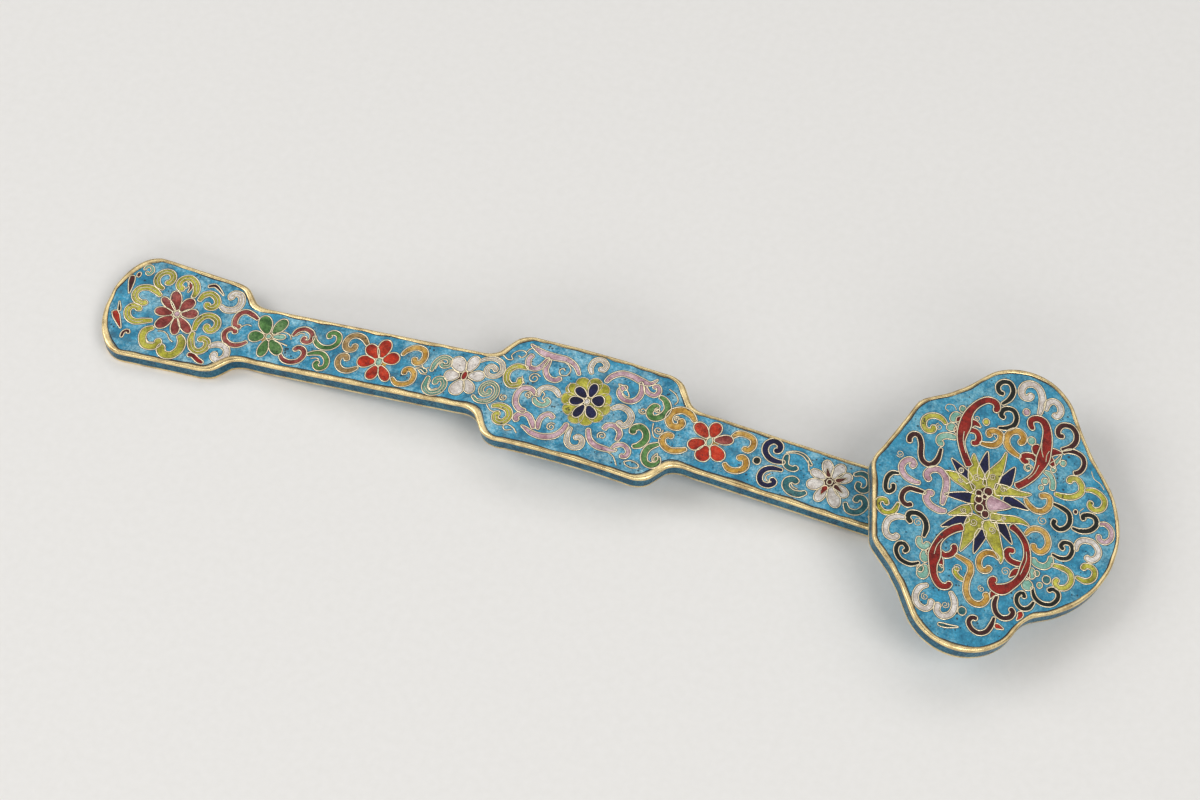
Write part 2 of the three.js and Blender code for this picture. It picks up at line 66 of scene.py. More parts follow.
# Layers of the two boxes, in millimetres. Levels count from the decorated face.
PLATE_TO_FACE = 0.9
BOX_THICKNESS = 6.6
RIM_WIDTH = 1.2
RIM_PROUD = 0.2
RIM_DEPTH = 1.4
RIM_OVERHANG = 0.4
UNDER_RIM = 0.4
COAT_DEPTH = 0.8
BACK_FACE = RIM_PROUD - BOX_THICKNESS
WALL_COAT = 0.6
WALL_OVERHANG = 0.34
WALL_GAP = 0.05
RIM_STEP = 1.2
STRAIGHT_STEP = 7.5
COAT_STEP = 2.0
COAT_COLUMNS = 13
PLATE_FLATNESS = 0.1

# Section of a gilt rim: shares of its width from outside to inside, with the depth below its top
RIM_DOME = ((0, RIM_DEPTH), (0, 0.62), (0.05, 0.36), (0.16, 0.14), (0.34, 0), (0.58, 0), (0.8, 0.1),
            (0.95, 0.24), (1, 0.4), (1, RIM_DEPTH))

# How far the edges of rims and of the painted shadows inside the front rims wander, and over what length
RIM_MEAN = 0.95
RIM_WANDER = 0.45
RIM_WAVE = 6.0
EDGE_WANDER = 0.12
EDGE_WAVE = 9.0
EDGE_SEED = 5
SHADOW_WANDER = 2.5
SHADOW_WAVE = 7.0
SHADOW_SEED = 9

# Cloisons and the enamel in them
WIRE_WIDTH = 0.32
WIRE_PROUD = 0.12
WIRE_DEPTH = 0.3
FINE_WIRE = 0.18
# Painted shadows, the dark lines beside rims and wires: their width beside a rim, their share of a
# wire's width beside a wire, and their height
SHADOW_WIDTH = 0.16
SHADOW_SHARE = 0.55
SHADOW_PROUD = 0.045
FILL_PROUD = 0.03
FILL_DEPTH = 0.2
LAYER = 0.025
CELL_STEP = 0.5
FEWEST_STEPS = 8
SHORTEST_STEP = 0.02
HOOK_HALF = 0.1 * WIRE_WIDTH
CURL_POINTS = 12
CURL_TURN = 0.85
CURL_SHRINK = 0.07

# The handle's rims are broader round its shoulders, by this share of their width
SHOULDER_SPREAD = 0.85

# The head's zero lies this far short of its middle, and its drawing was laid out a little to one side
HEAD_MIDDLE_U = 1.3
HEAD_DRAWING_SHIFT = -2.2

# Cloud curls on the two backs: their shape, their rows on the handle and their rings on the head
CLOUD_POINTS = 9
CLOUD_START = 0.5
CLOUD_TURN = 0.55
CLOUD_RADIUS = 2.4
CLOUD_SHRINK = 0.18
CLOUD_ASIDE = 2.5
CURL_REACH = 5.0
CURL_GAP = 0.2
BACK_ROWS = 29
FIRST_ROW = 12.0
ROW_PITCH = 10.2
ROW_TURN = 1.9
LANE_WIDTH = 5.0
LANE_TURN = 2.2
HEAD_RINGS = ((19, 8), (31, 14), (43, 16))
RING_SQUASH = 0.92
RING_SHIFT = 2.0
RING_TURN = 3
COLLAR_U = -11.0
COLLAR_REACH = 18.0

# Widths and depths of the patterns in enamel, gilding and paper, in millimetres
CLOUDING = 4.0
GRAIN = 1.1
STREAK_PATCH = 8.0
SPECK = 0.7
SOIL_PATCH = 14.0
PIT_SPACING = 1.8
PIT_CROWD = 7.0
PIT_DEPTH = 0.06
GILT_STAIN = 5.0
GILT_RUB = 0.6
GILT_RELIEF = 0.1
PAPER_FIBRE = 3.0
SOIL_COLOUR = "#565a55"
PIT_COLOUR = "#26282c"

# Finishing of meshes
MERGE_GAP = 0.001
SMOOTH_ANGLE = math.radians(40)

# Studio: places and sizes in metres, powers in watts
FLOOR_SIZE = 6.0
WORLD_LEVEL = 0.24
LIGHTS = {
    "key_light": ((1.8, -1.0, 2.2), (1.4, 1.4), 32),
    "fill_light": ((-2.2, -0.4, 1.8), (1.8, 1.8), 38),
    "edge_light": ((0.2, -2.4, 1.0), (3.6, 0.8), 30),
    "overhead_light": ((0.0, 1.5, 2.5), (4.0, 1.6), 21),
}


# Materials

def linear(hex_colour):
    """sRGB hex to the linear colour that sockets take."""
    channels = [int(hex_colour[i:i + 2], 16) / 255 for i in (1, 3, 5)]
    return [c / 12.92 if c <= 0.04045 else ((c + 0.055) / 1.055) ** 2.4 for c in channels] + [1]


def per_mm(size):
    """Texture scale, on coordinates in metres, of a pattern this many millimetres wide."""
    return 1 / (size * MM)


def node(tree, kind, inputs, **settings):
    """Adds a node with its settings, and sets or links its inputs by name or number."""
    made = tree.nodes.new(kind)
    for key, value in settings.items():
        setattr(made, key, value)
    for key, value in inputs.items():
        if isinstance(value, bpy.types.Node):
            value = next(out for out in value.outputs if out.enabled)
        if isinstance(value, bpy.types.NodeSocket):
            tree.links.new(value, made.inputs[key])
        else:
            made.inputs[key].default_value = value
    return made


def new_material(name):
    """An empty material: its node tree, its shader and the coordinates of the piece."""
    material = bpy.data.materials.new(name)
    material.use_nodes = True
    tree = material.node_tree
    place = node(tree, "ShaderNodeTexCoord", {}).outputs["Object"]
    return material, tree, tree.nodes["Principled BSDF"], place


def patches(tree, place, size, detail, roughness=0.5, distortion=0.0):
    """Noise with patches about this many millimetres wide."""
    return node(tree, "ShaderNodeTexNoise", {"Vector": place, "Scale": per_mm(size), "Detail": detail,
                                             "Roughness": roughness, "Distortion": distortion})


def ramp(tree, value, low, high, first=0.0, last=1.0):
    """A value between low and high, spread from first to last."""
    return node(tree, "ShaderNodeMapRange", {0: value, 1: low, 2: high, 3: first, 4: last})


def blend(tree, share, colour, other):
    """A colour that passes into another by this share."""
    return node(tree, "ShaderNodeMix", {0: share, 6: colour, 7: other}, data_type="RGBA").outputs[2]


def reckon(tree, operation, a, b):
    """Two values put together by arithmetic."""
    return node(tree, "ShaderNodeMath", {0: a, 1: b}, operation=operation)


def surface(tree, shader, colour, roughness, height, strength, depth):
    """Gives a shader its colour, its roughness and a relief this many millimetres deep."""
    bump = node(tree, "ShaderNodeBump",
                {"Height": height, "Strength": strength, "Distance": depth * MM})
    tree.links.new(colour, shader.inputs["Base Color"])
    tree.links.new(roughness.outputs[0], shader.inputs["Roughness"])
    tree.links.new(bump.outputs[0], shader.inputs["Normal"])


def enamel(name, deep, body, pale, veil=0.4, pits=0.8, stain=0.0):
    """Fired enamel, ground flat and polished: glassy, cloudy where the frit melted unevenly,
    streaked paler, dulled in patches by old dirt, and speckled with dark pits where bubbles were
    ground open."""
    material, tree, shader, place = new_material(name)
    cloud = patches(tree, place, CLOUDING, 6, 0.7)
    tone = blend(tree, ramp(tree, cloud, 0.36, 0.62), linear(deep), linear(body))
    grain = patches(tree, place, GRAIN, 4, 0.7, 0.6)
    milk = reckon(tree, "MULTIPLY", grain, patches(tree, place, STREAK_PATCH, 3))
    clouded = blend(tree, ramp(tree, milk, 0.22, 0.38, 0.0, veil), tone, linear(pale))
    value = ramp(tree, patches(tree, place, SPECK, 3, 0.7), 0.3, 0.7, 0.66, 1.22)
    speckled = node(tree, "ShaderNodeHueSaturation", {"Color": clouded, "Value": value})
    soil = ramp(tree, patches(tree, place, SOIL_PATCH, 8, 0.72, 1.2), 0.5, 0.68, 0.0, stain)
    soiled = blend(tree, soil, speckled.outputs[0], linear(SOIL_COLOUR))
    bubbles = node(tree, "ShaderNodeTexVoronoi", {"Vector": place, "Scale": per_mm(PIT_SPACING)})
    size = ramp(tree, patches(tree, place, PIT_CROWD, 2), 0.42, 0.72, 0.0, 0.3)
    pit = reckon(tree, "LESS_THAN", bubbles.outputs["Distance"], size)
    pitted = blend(tree, reckon(tree, "MULTIPLY", pit, pits), soiled, linear(PIT_COLOUR))
    polish = ramp(tree, grain, 0.3, 0.7, 0.18, 0.38)
    surface(tree, shader, pitted, polish, reckon(tree, "SUBTRACT", grain, pit), 0.3, PIT_DEPTH)
    shader.inputs["IOR"].default_value = 1.52
    shader.inputs["Specular IOR Level"].default_value = 0.2
    return material


def gilding(name, bright, brown, wear, metallic=1.0):
    """Fire-gilt copper: warm yellow metal, rubbed bright on top and brown where dirt stays.
    Wires ground flush with the enamel are duller than the rims."""
    material, tree, shader, place = new_material(name)
    stain = patches(tree, place, GILT_STAIN, 6, 0.65)
    colour = blend(tree, ramp(tree, stain, 0.45, 0.68, 0.0, wear), linear(bright), linear(brown))
    rough = ramp(tree, patches(tree, place, GILT_RUB, 3), 0.3, 0.7, 0.22, 0.4)
    surface(tree, shader, colour, rough, stain, 0.4, GILT_RELIEF)
    shader.inputs["Metallic"].default_value = metallic
    return material


TURQUOISE = enamel("turquoise_enamel", "#287493", "#3c9abc", "#a0d3da", 0.5, stain=0.18)
# The handle's face: a lighter copy of the turquoise, partly a paler enamel and partly painted light for
# the light that falls more on the handle than on the head, with more dirt patches
PALER_AND_LIT_TURQUOISE = enamel("paler_and_lit_turquoise_enamel", "#25708f", "#409fc2", "#b8dfe4", 0.6, stain=0.42)
# The walls: the turquoise darkened all over, painted shade for the shadow on the boxes' sides
SHADED_WALL_TURQUOISE = enamel("shaded_wall_turquoise_enamel", "#133f54", "#1f5d75", "#4c8798")
GILT = gilding("fire_gilt_rim", "#f4dba2", "#7f5a2c", 0.6, 0.88)
WIRE = gilding("fire_gilt_wire", "#fbebc6", "#c09a62", 0.25, 0.45)
COPPER = gilding("bare_copper_sheet", "#b8734c", "#6b3d26", 0.5)
# Near-black for the dark lines painted beside the wires and inside the front rims as their shadows
PAINTED_SHADOW = gilding("painted_shadow_black", "#221a14", "#0e0b09", 0.8, 0.0)

# Enamel colours of the motifs: the material of each, and a slot of the record
COLOURS = {
    "maroon": (enamel("maroon_enamel", "#662521", "#a0463d", "#c48b7f", 0.35), "enamel_maroon"),
    "red": (enamel("iron_red_enamel", "#5c100b", "#992115", "#b0513c", 0.25), "enamel_red"),
    "vermilion": (enamel("vermilion_enamel", "#7c190a", "#cb3413", "#d2704f", 0.28), "enamel_vermilion"),
    "russet": (enamel("russet_enamel", "#3a1311", "#571f19", "#855446", 0.25), "enamel_russet"),
    "aubergine": (enamel("aubergine_enamel", "#260f0e", "#471d19", "#6e4238", 0.25), "enamel_russet"),
    "lime": (enamel("lime_enamel", "#7f7c26", "#c5bf3e", "#dcd48a", 0.35), "enamel_lime"),
    "tan": (enamel("tan_enamel", "#745a32", "#b39059", "#d6c196", 0.45), "enamel_lime"),
    "ochre": (enamel("ochre_enamel", "#986b22", "#d4a342", "#e6cd90", 0.38), "enamel_lime"),
    "green": (enamel("leaf_green_enamel", "#2d552a", "#5f8f49", "#a8be8e", 0.32), "enamel_green"),
    "forest": (enamel("black_green_enamel", "#0a0e0b", "#1a2019", "#474f3e", 0.2), "enamel_green"),
    "teal": (enamel("teal_enamel", "#1b4e56", "#2e6c70", "#7ca8a0", 0.3), "enamel_green"),
    "sage": (enamel("sage_enamel", "#4c8070", "#74a48e", "#b4cfbc", 0.4), "enamel_green"),
    "mint": (enamel("mint_enamel", "#66a090", "#8cbca6", "#c0d8c8", 0.4), "enamel_white"),
    "white": (enamel("white_enamel", "#b9aca1", "#e6dfd7", "#f6f2ed", 0.4, 0.5), "enamel_white"),
    "pink": (enamel("rose_enamel", "#99717c", "#d0a9b4", "#e6d3d4", 0.55), "enamel_white"),
    "navy": (enamel("navy_enamel", "#0b0c26", "#141642", "#3b3f72", 0.2), "enamel_navy"),
}


# Faces of the two boxes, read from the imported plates

def corners(name):
    """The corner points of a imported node, each once."""
    vertices = frame["nodes"][name].data.vertices
    return [Vector(p) for p in {tuple(round(c, 6) for c in v.co) for v in vertices}]


def plate_sections():
    """The handle's front plate from tail to neck: a point on the face's middle line, the half width
    in millimetres and the direction out of the face."""
    edge = [p for p in corners("handle_front_plate") if p.y > 0]
    found = []
    for top in edge:
        others = (p for p in edge if p is not top and abs(p.y - top.y) < 1e-5)
        below = min(others, key=lambda p: (p - top).length)
        if top.z > below.z:
            out = (top - below).normalized()
            found.append((Vector((top.x, 0, top.z)) + out * PLATE_TO_FACE * MM, top.y / MM, out))
    return sorted(found, key=lambda section: section[0].x)


sections = plate_sections()
stations = [(sections[0][0].x - cad_box[0][0]) / MM]
for before, after in zip(sections, sections[1:]):
    stations.append(stations[-1] + (after[0] - before[0]).length / MM)
NECK_END = stations[-1]


def on_handle(s, v, n):
    """The place s mm along the handle's face from the tail, v mm across it and n mm above it."""
    i = max(k for k in range(len(stations) - 1) if k == 0 or stations[k] <= s)
    span = stations[i + 1] - stations[i]
    t = (s - stations[i]) / span
    (a, _, out_a), (b, _, out_b) = sections[i], sections[i + 1]
    run_a = Vector((out_a.z, 0, -out_a.x)) * span * MM
    run_b = Vector((out_b.z, 0, -out_b.x)) * span * MM
    if t < 0:
        point, run = a + run_a * t, run_a
    else:
        point = (a * (2 * t**3 - 3 * t**2 + 1) + run_a * (t**3 - 2 * t**2 + t)
                 + b * (3 * t**2 - 2 * t**3) + run_b * (t**3 - t**2))
        run = (a - b) * (6 * t**2 - 6 * t) + run_a * (3 * t**2 - 4 * t + 1) + run_b * (3 * t**2 - 2 * t)
    run = run.normalized()
    return point + Vector((-run.z, 0, run.x)) * n * MM + Vector((0, v * MM, 0))


head_back = next(mount for mount in frame["record"]["mounts"] if mount["name"] == "head_back")
head_out = -Vector(head_back["axis"]).normalized()
head_along = Vector((head_out.z, 0, -head_out.x))
plate = corners("head_front_plate")
plate_top = max(p.dot(head_out) for p in plate)
plate = [p for p in plate if p.dot(head_out) > plate_top - PLATE_FLATNESS * MM]
reach = [p.dot(head_along) for p in plate]
head_centre = head_along * ((min(reach) + max(reach)) / 2 - HEAD_MIDDLE_U * MM)
head_centre += head_out * (plate_top + PLATE_TO_FACE * MM)


def on_head(u, v, n):
    """The place u mm towards the head's tip, v mm across and n mm above its face."""
    return head_centre + (head_along * u + head_out * n + Vector((0, v, 0))) * MM


def on_head_drawing(u, v, n):
    """The same, from where the head's drawing was begun."""
    return on_head(u, v + HEAD_DRAWING_SHIFT, n)


# Lines on a face

def smooth(points, steps=8, closed=False):
    """A curve through all the points."""
    points = [Vector(p) for p in points]
    last = len(points) - 1
    curve = []
    for i in range(last + closed):
        a, b, c, d = (points[k % len(points)] if closed else points[min(max(k, 0), last)]
                      for k in (i - 1, i, i + 1, i + 2))
        for t in (k / steps for k in range(steps)):
            curve.append(b + ((c - a) * t + (a * 2 - b * 5 + c * 4 - d) * t**2
                              + (b * 3 - a - c * 3 + d) * t**3) / 2)
    return curve + ([] if closed else points[-1:])


def with_steps(points, longest, closed=False):
    """The points, with more of them on stretches longer than this, so that a curve keeps them
    straight."""
    points = [Vector(p) for p in points]
    filled = []
    for a, b in zip(points, points[1:] + points[:1] if closed else points[1:]):
        count = math.ceil((b - a).length / longest)
        filled += [a.lerp(b, k / count) for k in range(count)]
    return filled + ([] if closed else points[-1:])


def at_shares(line, shares):
    """Points of a line at these shares of its length."""
    lengths = [0]
    for a, b in zip(line, line[1:]):
        lengths.append(lengths[-1] + (b - a).length)
    found, i = [], 0
    for share in shares:
        while i < len(line) - 2 and lengths[i + 1] < share * lengths[-1]:
            i += 1
        t = (share * lengths[-1] - lengths[i]) / max(lengths[i + 1] - lengths[i], 1e-9)
        found.append(line[i].lerp(line[i + 1], min(t, 1)))
    return found


def length(line):
    """The length of a line."""
    return sum((b - a).length for a, b in zip(line, line[1:]))


def evenly(loop, step):
    """A closed loop with points at even steps."""
    closed = loop + loop[:1]
    count = round(length(closed) / step)
    return at_shares(closed, [k / count for k in range(count)])


def left_of(line, closed):
    """The direction to the left at each point of a line."""
    count = len(line)
    found = []
    for i in range(count):
        before = line[i - 1] if closed or i else line[0]
        after = line[(i + 1) % count] if closed or i < count - 1 else line[-1]
        way = (after - before).normalized()
        found.append(Vector((-way.y, way.x)))
    return found


plan = list(zip(stations, (half for _, half, _ in sections)))
around_handle = [(s, -half) for s, half in plan] + [(s, half) for s, half in plan[::-1]]
handle_outline = evenly(smooth(with_steps(around_handle, STRAIGHT_STEP, True), closed=True), RIM_STEP)
flat_head = [((p - head_centre).dot(head_along) / MM, p.y / MM) for p in plate]
around_head = sorted(flat_head, key=lambda p: math.atan2(p[1], p[0]))
head_outline = evenly(smooth(with_steps(around_head, STRAIGHT_STEP, True), closed=True), RIM_STEP)


def half_width(s):
    """Half of the handle's width at a place along it."""
    edge = [p for p in handle_outline if p.y > 0]
    beyond = min((p for p in edge if p.x >= s), key=lambda p: p.x, default=edge[0])
    short = max((p for p in edge if p.x <= s), key=lambda p: p.x, default=beyond)
    share = 0 if beyond.x - short.x < 1e-6 else (s - short.x) / (beyond.x - short.x)
    return short.y + (beyond.y - short.y) * share


# Shaping and finishing pieces

def skin(rows):
    """A grid with its rows of corners moved to these points."""
    bpy.ops.object.select_all(action="DESELECT")
    bpy.ops.mesh.primitive_grid_add(x_subdivisions=len(rows[0]) - 1, y_subdivisions=len(rows) - 1)
    sheet = bpy.context.object
    sheet.data.vertices.foreach_set("co", [c for row in rows for point in row for c in point])
    return sheet


def band(place, loop, section):
    """A closed bar bent round a loop. Its section is a list of steps to the left, each one number
    or one for every point of the loop, with their levels."""
    aside = left_of(loop, True)
    rows = []
    for i, (point, left) in enumerate(zip(loop, aside)):
        row = []
        for step, level in section:
            moved = point + left * (step[i] if isinstance(step, list) else step)
            row.append(place(moved.x, moved.y, level))
        rows.append(row + row[:1])
    return skin(rows + rows[:1])


def finish_piece(name, parts, material, slot, *nodes):
    """Joins parts into one piece, merges the doubled points at its joins, turns its faces out, smooths
    it, gives it its material, hangs it on the root body and hides the imported nodes that it stands for."""
    bpy.ops.object.select_all(action="DESELECT")
    for part in parts:
        part.select_set(True)
    bpy.context.view_layer.objects.active = parts[0]
    if len(parts) > 1:
        bpy.ops.object.join()
    piece = parts[0]
    bpy.ops.object.mode_set(mode="EDIT")
    bpy.ops.mesh.select_all(action="SELECT")
    bpy.ops.mesh.remove_doubles(threshold=MERGE_GAP * MM)
    bpy.ops.mesh.normals_make_consistent(inside=False)
    bpy.ops.object.mode_set(mode="OBJECT")
    bpy.ops.object.shade_smooth_by_angle(angle=SMOOTH_ANGLE)
    piece.name = piece.data.name = name
    piece.data.materials.clear()
    piece.data.materials.append(material)
    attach(piece, "root")
    if nodes:
        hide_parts(*nodes)


# Gilt rims. Their inner edges wander, as hand-laid enamel leaves them.

def wander(p, wave, seed):
    """How far an edge strays at a point, from about -1 to 1, changing over this many millimetres."""
    return noise.noise(Vector((p.x / wave, p.y / wave, seed)))


def rim_widths(place, loop, seed):
    """The width of a rim at each point of its loop."""
    spread = SHOULDER_SPREAD if place is on_handle else 0
    widths = []
    for p, aside in zip(loop, left_of(loop, True)):
        beaten = RIM_MEAN + RIM_WANDER * wander(p, RIM_WAVE, seed)
        widths.append(RIM_WIDTH * (beaten + spread * 2 * abs(aside.x * aside.y)))
    return widths


def gilt_rim(name, place, loop, front, seed, node_name):
    """A domed rim round the front or the back of a box."""
    top, side = (RIM_PROUD, 1) if front else (-BOX_THICKNESS, -1)
    inner = rim_widths(place, loop, seed)
    outer = [EDGE_WANDER * wander(p, EDGE_WAVE, seed + EDGE_SEED) - RIM_OVERHANG for p in loop]
    section = [([a + (b - a) * share for a, b in zip(outer, inner)], top - side * sunk)
               for share, sunk in RIM_DOME]
    finish_piece(name, [band(place, loop, section)], GILT, "gilt", node_name)


def rim_shadow(name, place, loop, seed):
    """A dark line painted inside a front rim along its inner edge, as the shadow at the rim's foot."""
    inner = rim_widths(place, loop, seed)
    outer = [w + SHADOW_WIDTH * (1 + SHADOW_WANDER * wander(p, SHADOW_WAVE, seed + SHADOW_SEED))
             for p, w in zip(loop, inner)]
    under = [w - SHADOW_WIDTH for w in inner]
    section = [(under, -FILL_DEPTH), (under, FILL_PROUD), (outer, FILL_PROUD), (outer, -FILL_DEPTH)]
    finish_piece(name, [band(place, loop, section)], PAINTED_SHADOW, "copper")


gilt_rim("handle_rim_front", on_handle, handle_outline, True, 1.5, "handle_front_rim")
gilt_rim("handle_rim_back", on_handle, handle_outline, False, 2.5, "handle_back_rim")
gilt_rim("head_rim_front", on_head, head_outline, True, 3.5, "head_front_rim")
gilt_rim("head_rim_back", on_head, head_outline, False, 4.5, "head_back_rim")
rim_shadow("handle_rim_shadow", on_handle, handle_outline, 1.5)
rim_shadow("head_rim_shadow", on_head, head_outline, 3.5)


# Enamel grounds and walls

def handle_coat(top):
    """A sheet of enamel along the handle, ending under the rim."""
    columns = range(COAT_COLUMNS)
    across = [2 * k / (COAT_COLUMNS - 1) - 1 for k in columns]
    count = round((NECK_END - 2 * UNDER_RIM) / COAT_STEP)
    rows = []
    for i in range(count + 1):
        s = stations[0] + UNDER_RIM + (NECK_END - stations[0] - 2 * UNDER_RIM) * i / count
        half = half_width(s) - UNDER_RIM
        upper = [on_handle(s, half * k, top) for k in across]
        lower = [on_handle(s, half * k, top - COAT_DEPTH) for k in reversed(across)]
        rows.append(upper + lower + upper[:1])
    flat_end = [[row[k] for k in (*columns, *reversed(columns), 0)] for row in (rows[0], rows[-1])]
    return skin(flat_end[:1] + rows + flat_end[1:])


def head_coat(top):
    """A sheet of enamel on the head: rings from its middle to the rim, on both sides."""
    inset = [p + left * UNDER_RIM for p, left in zip(head_outline, left_of(head_outline, True))]
    low = top - COAT_DEPTH
    rows = []
    for share, level in ((0, top), (0.5, top), (1, top), (1, low), (0.5, low), (0, low)):
        row = [on_head(p.x * share, p.y * share, level) for p in inset]
        rows.append(row + row[:1])
    return skin(rows)


def wall_band(place, loop):
    """Enamel round the edge of a box, between its two rims."""
    high, low = RIM_PROUD - RIM_DEPTH + WALL_GAP, -BOX_THICKNESS + RIM_DEPTH - WALL_GAP
    outer, inner = -WALL_OVERHANG, WALL_COAT
    return band(place, loop, [(outer, high), (outer, low), (inner, low), (inner, high)])


for name, sheet, material, *nodes in (
        # The handle's face: turquoise lightened partly with painted light
        ("handle_ground_front", handle_coat(0), PALER_AND_LIT_TURQUOISE, "handle_front_enamel"),
        ("handle_ground_back", handle_coat(BACK_FACE + COAT_DEPTH), TURQUOISE, "handle_back_enamel"),
        ("head_ground_front", head_coat(0), TURQUOISE, "head_front_enamel"),
        ("head_ground_back", head_coat(BACK_FACE + COAT_DEPTH), TURQUOISE, "head_back_enamel"),
        # The walls: turquoise darkened with painted shade
        ("handle_wall_coat", wall_band(on_handle, handle_outline), SHADED_WALL_TURQUOISE,
         "handle_wall_enamel_left", "handle_wall_enamel_right"),
        ("head_wall_coat", wall_band(on_head, head_outline), SHADED_WALL_TURQUOISE, "head_wall_enamel")):
    finish_piece(name, [sheet], material, "enamel_turquoise", *nodes)

for name in ("handle_front_plate", "handle_back_plate", "handle_wall_left", "handle_wall_right",
             "head_front_plate", "head_back_plate", "head_wall", "neck_tongue", "neck_collar"):
    kept = frame["nodes"][name].data.materials
    kept.clear()
    kept.append(GILT if name == "neck_collar" else COPPER)


# Cloisons: cells of enamel, each fenced by a bent wire

class Drawing:
    """The cells of one part of a face, kept by colour until they are joined."""

    def __init__(self, name, place):
        self.name = name
        self.place = place
        self.layer = 0
        self.gauge = WIRE_WIDTH
        self.wires = []
        self.wire_shadows = []
        self.fills = {}

    def cell(self, colour, points, half_at, fenced=True):
        """A cell along a line through the points, with closer corners towards its ends. Half the
        width of its enamel comes from a function of the share of the line's length and of that
        length. A higher layer covers cells laid before."""
        line = smooth(points)
        total = length(line)
        count = max(FEWEST_STEPS, round(total / CELL_STEP))
        shares = [(1 - math.cos(math.pi * k / count)) / 2 for k in range(count + 1)]
        shares = [0.5 * share + 0.5 * k / count for k, share in enumerate(shares)]
        middle = at_shares(line, shares)
        halves = [half_at(share, total) + 0.5 * self.gauge for share in shares]
        sides = left_of(middle, False)
        left = [p + aside * half for p, aside, half in zip(middle, sides, halves)]
        right = [p - aside * half for p, aside, half in zip(middle, sides, halves)]
        top = FILL_PROUD + LAYER * self.layer
        rows = []
        for a, b in zip(left, right):
            ring = ((a, top), (b, top), (b, -FILL_DEPTH), (a, -FILL_DEPTH))
            row = [self.place(p.x, p.y, n) for p, n in ring]
            rows.append(row + row[:1])
        tips = [[self.place(p.x, p.y, top)] * 5 for p in (middle[0], middle[-1])]
        self.fills.setdefault(colour, []).append(skin(tips[:1] + rows + tips[1:]))
        if fenced:
            self.wire(left + right[::-1])

    def wire(self, loop):
        """A flat wire on edge, bent round a closed loop, with its top edge rubbed round and a dark line
        painted beside it as its shadow."""
        width, top = self.gauge, WIRE_PROUD + LAYER * self.layer
        section = [(-width / 2, -WIRE_DEPTH), (-width / 2, top - WIRE_PROUD / 2), (-width / 4, top),
                   (width / 4, top), (width / 2, top - WIRE_PROUD / 2), (width / 2, -WIRE_DEPTH)]
        clean = [p for k, p in enumerate(loop) if (p - loop[k - 1]).length > SHORTEST_STEP]
        self.wires.append(band(self.place, clean, section))
        # A dark band on each side of the wire: painted shadow
        edge, level = width * (0.5 + SHADOW_SHARE), SHADOW_PROUD + LAYER * self.layer
        shadow_section = [(-edge, -FILL_DEPTH), (-edge, level), (edge, level), (edge, -FILL_DEPTH)]
        self.wire_shadows.append(band(self.place, clean, shadow_section))

    def hook(self, points):
        """A bare wire along an open line."""
        line = smooth(points)
        aside = left_of(line, False)
        left = [p + side * HOOK_HALF for p, side in zip(line, aside)]
        right = [p - side * HOOK_HALF for p, side in zip(line, aside)]
        self.wire(left + right[::-1])

    def curl(self, x, y, radius, turn=0.0, hand=1):
        """A bare wire wound up in a small spiral."""
        points = []
        for k in range(CURL_POINTS):
            angle, reach = turn + hand * CURL_TURN * k, radius * (1 - CURL_SHRINK * k)
            points.append((x + reach * math.cos(angle), y + reach * math.sin(angle)))
        self.hook(points)

    def scroll(self, colour, width, *points, vein=False):
        """A curl: thin where it springs from its stem, with a round inner end. A vein is a wire along
        its middle."""
        def half_at(share, total):
            spring = min(1, 0.55 + 2.4 * share) * min(1, (share * total / 0.3) ** 0.5)
            bulb = max(0, 1 - share) * total / (0.5 * width)
            return 0.5 * width * spring * (1 if bulb >= 1 else (1 - (1 - bulb) ** 2) ** 0.5)
        self.cell(colour, points, half_at)
        if vein:
            self.gauge = FINE_WIRE
            self.hook(points[1:-1])
            self.gauge = WIRE_WIDTH

    def petal(self, colour, width, base, tip):
        """A round-ended petal, narrow at its base."""
        def half_at(share, total):
            widest = 0.58
            if share > widest:
                return 0.5 * width * max(0, 1 - ((share - widest) / (1 - widest)) ** 2) ** 0.5
            swell = 0.25 + 0.75 * math.sin(0.5 * math.pi * share / widest)
            return 0.5 * width * swell * min(1, share / 0.04)
        self.cell(colour, [base, (Vector(base) + Vector(tip)) / 2, tip], half_at)

    def spear(self, colour, width, *points):
        """A leaf or petal that runs out to a point."""
        def half_at(share, total):
            swell = min(1, 0.55 + 1.5 * share) * min(1, share / 0.03)
            return 0.5 * width * swell * max(0, 1 - share) ** 0.75
        self.cell(colour, points, half_at)

    def leaf(self, colour, *points):
        """A scrolled leaf through points that each give their own width."""
        line = smooth(points)
        shares = [0]
        for a, b in zip(line, line[1:]):
            shares.append(shares[-1] + (b.xy - a.xy).length)
        shares = [share / shares[-1] for share in shares]

        def half_at(share, total):
            i = max(k for k in range(len(shares) - 1) if k == 0 or shares[k] <= share)
            t = (share - shares[i]) / max(shares[i + 1] - shares[i], 1e-9)
            end = min(1, share * total / 0.4) * min(1, (1 - share) * total / 0.8) ** 0.5
            return 0.5 * (line[i].z + (line[i + 1].z - line[i].z) * t) * end
        self.cell(colour, [p[:2] for p in points], half_at)

    def drop(self, colour, width, *points):
        """A drop, round at its base and pointed at its end."""
        def half_at(share, total):
            widest = 0.16
            swell = min(1, (share / widest) ** 0.5)
            return 0.5 * width * swell * (1 - max(0, share - widest) / (1 - widest)) ** 0.7
        self.cell(colour, points, half_at)

    def dot(self, colour, radius, x, y, stretch=1.0, fenced=True):
        """A round or oval cell, its long way across the face."""
        def half_at(share, total):
            return radius * stretch * max(0, 1 - (2 * share - 1) ** 2) ** 0.5
        self.cell(colour, [(x - radius, y), (x, y), (x + radius, y)], half_at, fenced)

    def lay(self, wire_nodes=(), **fill_nodes):
        """Joins the cells into one piece for the wires and one for each colour."""
        finish_piece(f"{self.name}_cloisons", self.wires, WIRE, "gilt", *wire_nodes)
